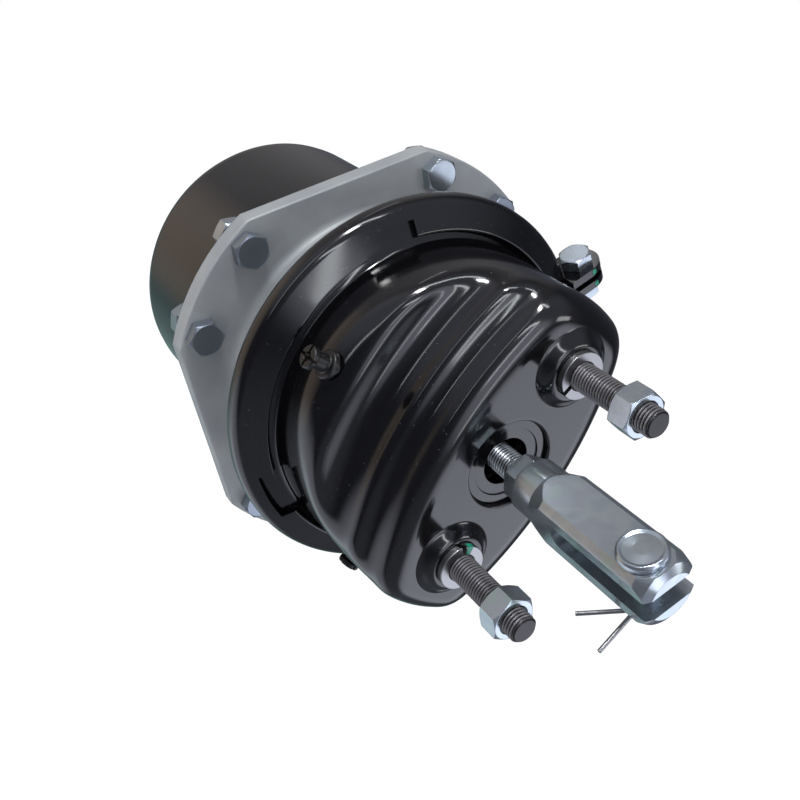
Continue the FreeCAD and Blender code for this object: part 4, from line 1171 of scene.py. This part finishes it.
floor_level = cad_box[0][2] - FLOOR_DROP
bpy.ops.object.select_all(action="DESELECT")
bpy.ops.mesh.primitive_plane_add(size=FLOOR_SIZE, location=(0.0, 0.0, floor_level))
floor = bpy.context.object
floor.name = "floor"
paper, tree, shader = finish("white paper", "#f8f8f8", roughness=0.9)
rays = add_node(tree, "ShaderNodeLightPath")
glow = add_node(tree, "ShaderNodeEmission", {"Color": WHITE, "Strength": GLOW})
blend = add_node(tree, "ShaderNodeMixShader")
seen = maths(tree, "MULTIPLY", rays.outputs["Is Camera Ray"], GLOW_SHARE)
tree.links.new(seen, blend.inputs[0])
tree.links.new(shader.outputs[0], blend.inputs[1])
tree.links.new(glow.outputs[0], blend.inputs[2])
tree.links.new(blend.outputs[0], tree.nodes["Material Output"].inputs["Surface"])
floor.data.materials.append(paper)
floor.visible_glossy = False

# %% Reflected room
# Each glow has a colour, the direction it comes from, the cosines at which it starts and is full,
# and a strength. They follow what the paint mirrors: a dim room all round, a bright wall ahead, a
# pale table, a ceiling, and a warm and a greenish side behind.
CENTRE = Vector((-0.10, 0.0, 0.0))
DOME_RADIUS = 2.5
GLOWS = (
    ("#d8def4", (0.00, 0.00, 1.00), -3.0, -2.0, 0.13),
    ("#e4e8f8", (0.66, -0.24, 0.70), 0.50, 0.95, 0.50),
    ("#e4e8f8", (0.98, -0.10, 0.14), 0.92, 0.99, 1.90),
    ("#e3e7f4", (0.66, 0.72, -0.22), 0.82, 0.97, 2.50),
    ("#e4e8f8", (-0.10, -0.90, 0.42), 0.80, 0.97, 0.60),
    ("#e8ecf8", (-0.25, -0.25, -0.93), 0.70, 0.95, 1.40),
    ("#e4e8f8", (0.65, 0.25, -0.70), 0.60, 0.95, 0.30),
    ("#eee6e0", (-0.75, -0.25, 0.60), 0.60, 0.95, 0.30),
    ("#f0d8bc", (-0.73, -0.65, -0.20), 0.80, 0.98, 0.60),
    ("#a8dcd0", (-0.70, 0.35, -0.60), 0.60, 0.95, 0.30),
)


def only_reflected(piece, colour, strength):
    """Make a piece of the studio glow, and let only reflections see it."""
    material = bpy.data.materials.new(piece.name)
    material.use_nodes = True
    tree = material.node_tree
    tree.nodes.clear()
    glow = add_node(tree, "ShaderNodeEmission", {"Strength": strength})
    add_node(tree, "ShaderNodeOutputMaterial", Surface=glow.outputs[0])
    glow.inputs["Color"].default_value = colour
    piece.data.materials.append(material)
    piece.visible_camera = False
    piece.visible_diffuse = False
    piece.visible_transmission = False
    piece.visible_volume_scatter = False
    piece.visible_shadow = False
    return tree, glow


bpy.ops.object.select_all(action="DESELECT")
bpy.ops.mesh.primitive_uv_sphere_add(
    segments=48, ring_count=24, radius=DOME_RADIUS, location=CENTRE)
dome = bpy.context.object
dome.name = "room"
tree, glow = only_reflected(dome, WHITE, 1.0)
place = add_node(tree, "ShaderNodeTexCoord")
light = None
for colour, direction, start, full, amount in GLOWS:
    toward = add_node(tree, "ShaderNodeVectorMath", {"operation": "DOT_PRODUCT"})
    tree.links.new(place.outputs["Object"], toward.inputs[0])
    toward.inputs[1].default_value = Vector(direction).normalized() / DOME_RADIUS
    rise = add_node(
        tree, "ShaderNodeMapRange",
        {"interpolation_type": "SMOOTHSTEP", "From Min": start, "From Max": full, "To Max": amount},
        Value=toward.outputs["Value"])
    share = add_node(tree, "ShaderNodeVectorMath", {"operation": "SCALE"},
                     Scale=rise.outputs["Result"])
    share.inputs[0].default_value = linear(colour)[:3]
    if light is None:
        light = share
        continue
    total = add_node(tree, "ShaderNodeVectorMath", {"operation": "ADD"})
    tree.links.new(light.outputs[0], total.inputs[0])
    tree.links.new(share.outputs[0], total.inputs[1])
    light = total
tree.links.new(light.outputs[0], glow.inputs["Color"])
print("glows", len(GLOWS))

# %% Bright windows
# Each window has a name, the direction it stands in, its width and height in metres, and its
# strength.
WINDOW_COLOUR = (0.92, 0.96, 1.0, 1.0)
WINDOWS = (
    ("upper window", (0.30, -0.50, 0.85), 1.30, 0.10, 16.0),
    ("tall window", (0.30, -0.95, 0.25), 0.10, 1.50, 6.0),
    ("front window", (0.93, -0.30, 0.25), 0.14, 0.80, 8.0),
    ("far window", (-0.65, -0.25, 0.75), 0.90, 0.05, 4.0),
    ("rear window", (0.75, -0.48, 0.42), 1.10, 0.12, 12.0),
    ("side window", (0.97, 0.05, 0.05), 0.12, 0.90, 6.0),
)
for name, way, width, height, power in WINDOWS:
    direction = Vector(way).normalized()
    bpy.ops.object.select_all(action="DESELECT")
    bpy.ops.mesh.primitive_plane_add(size=1.0, location=CENTRE + direction * (DOME_RADIUS - 0.3))
    panel = bpy.context.object
    panel.name = name
    panel.scale = (width, height, 1.0)
    panel.rotation_euler = (-direction).to_track_quat("Z", "Y").to_euler()
    only_reflected(panel, WINDOW_COLOUR, power)
print("windows", len(WINDOWS))

# %% Lamps
# Each lamp has a name, its place, its width and height in metres, and its power in watts.
LAMPS = (
    ("key softbox", (0.1, -0.9, 1.0), 0.5, 0.12, 12.0),
    ("side softbox", (0.9, 0.5, 0.6), 0.5, 0.20, 1.5),
)
for name, place, width, height, power in LAMPS:
    bpy.ops.object.select_all(action="DESELECT")
    bpy.ops.object.light_add(type="AREA", location=place)
    light = bpy.context.object
    light.name = name
    light.data.shape = "RECTANGLE"
    light.data.size = width
    light.data.size_y = height
    light.data.energy = power
    light.rotation_euler = (CENTRE - Vector(place)).to_track_quat("-Z", "Y").to_euler()
print("lamps", len(LAMPS))

# %% [markdown]
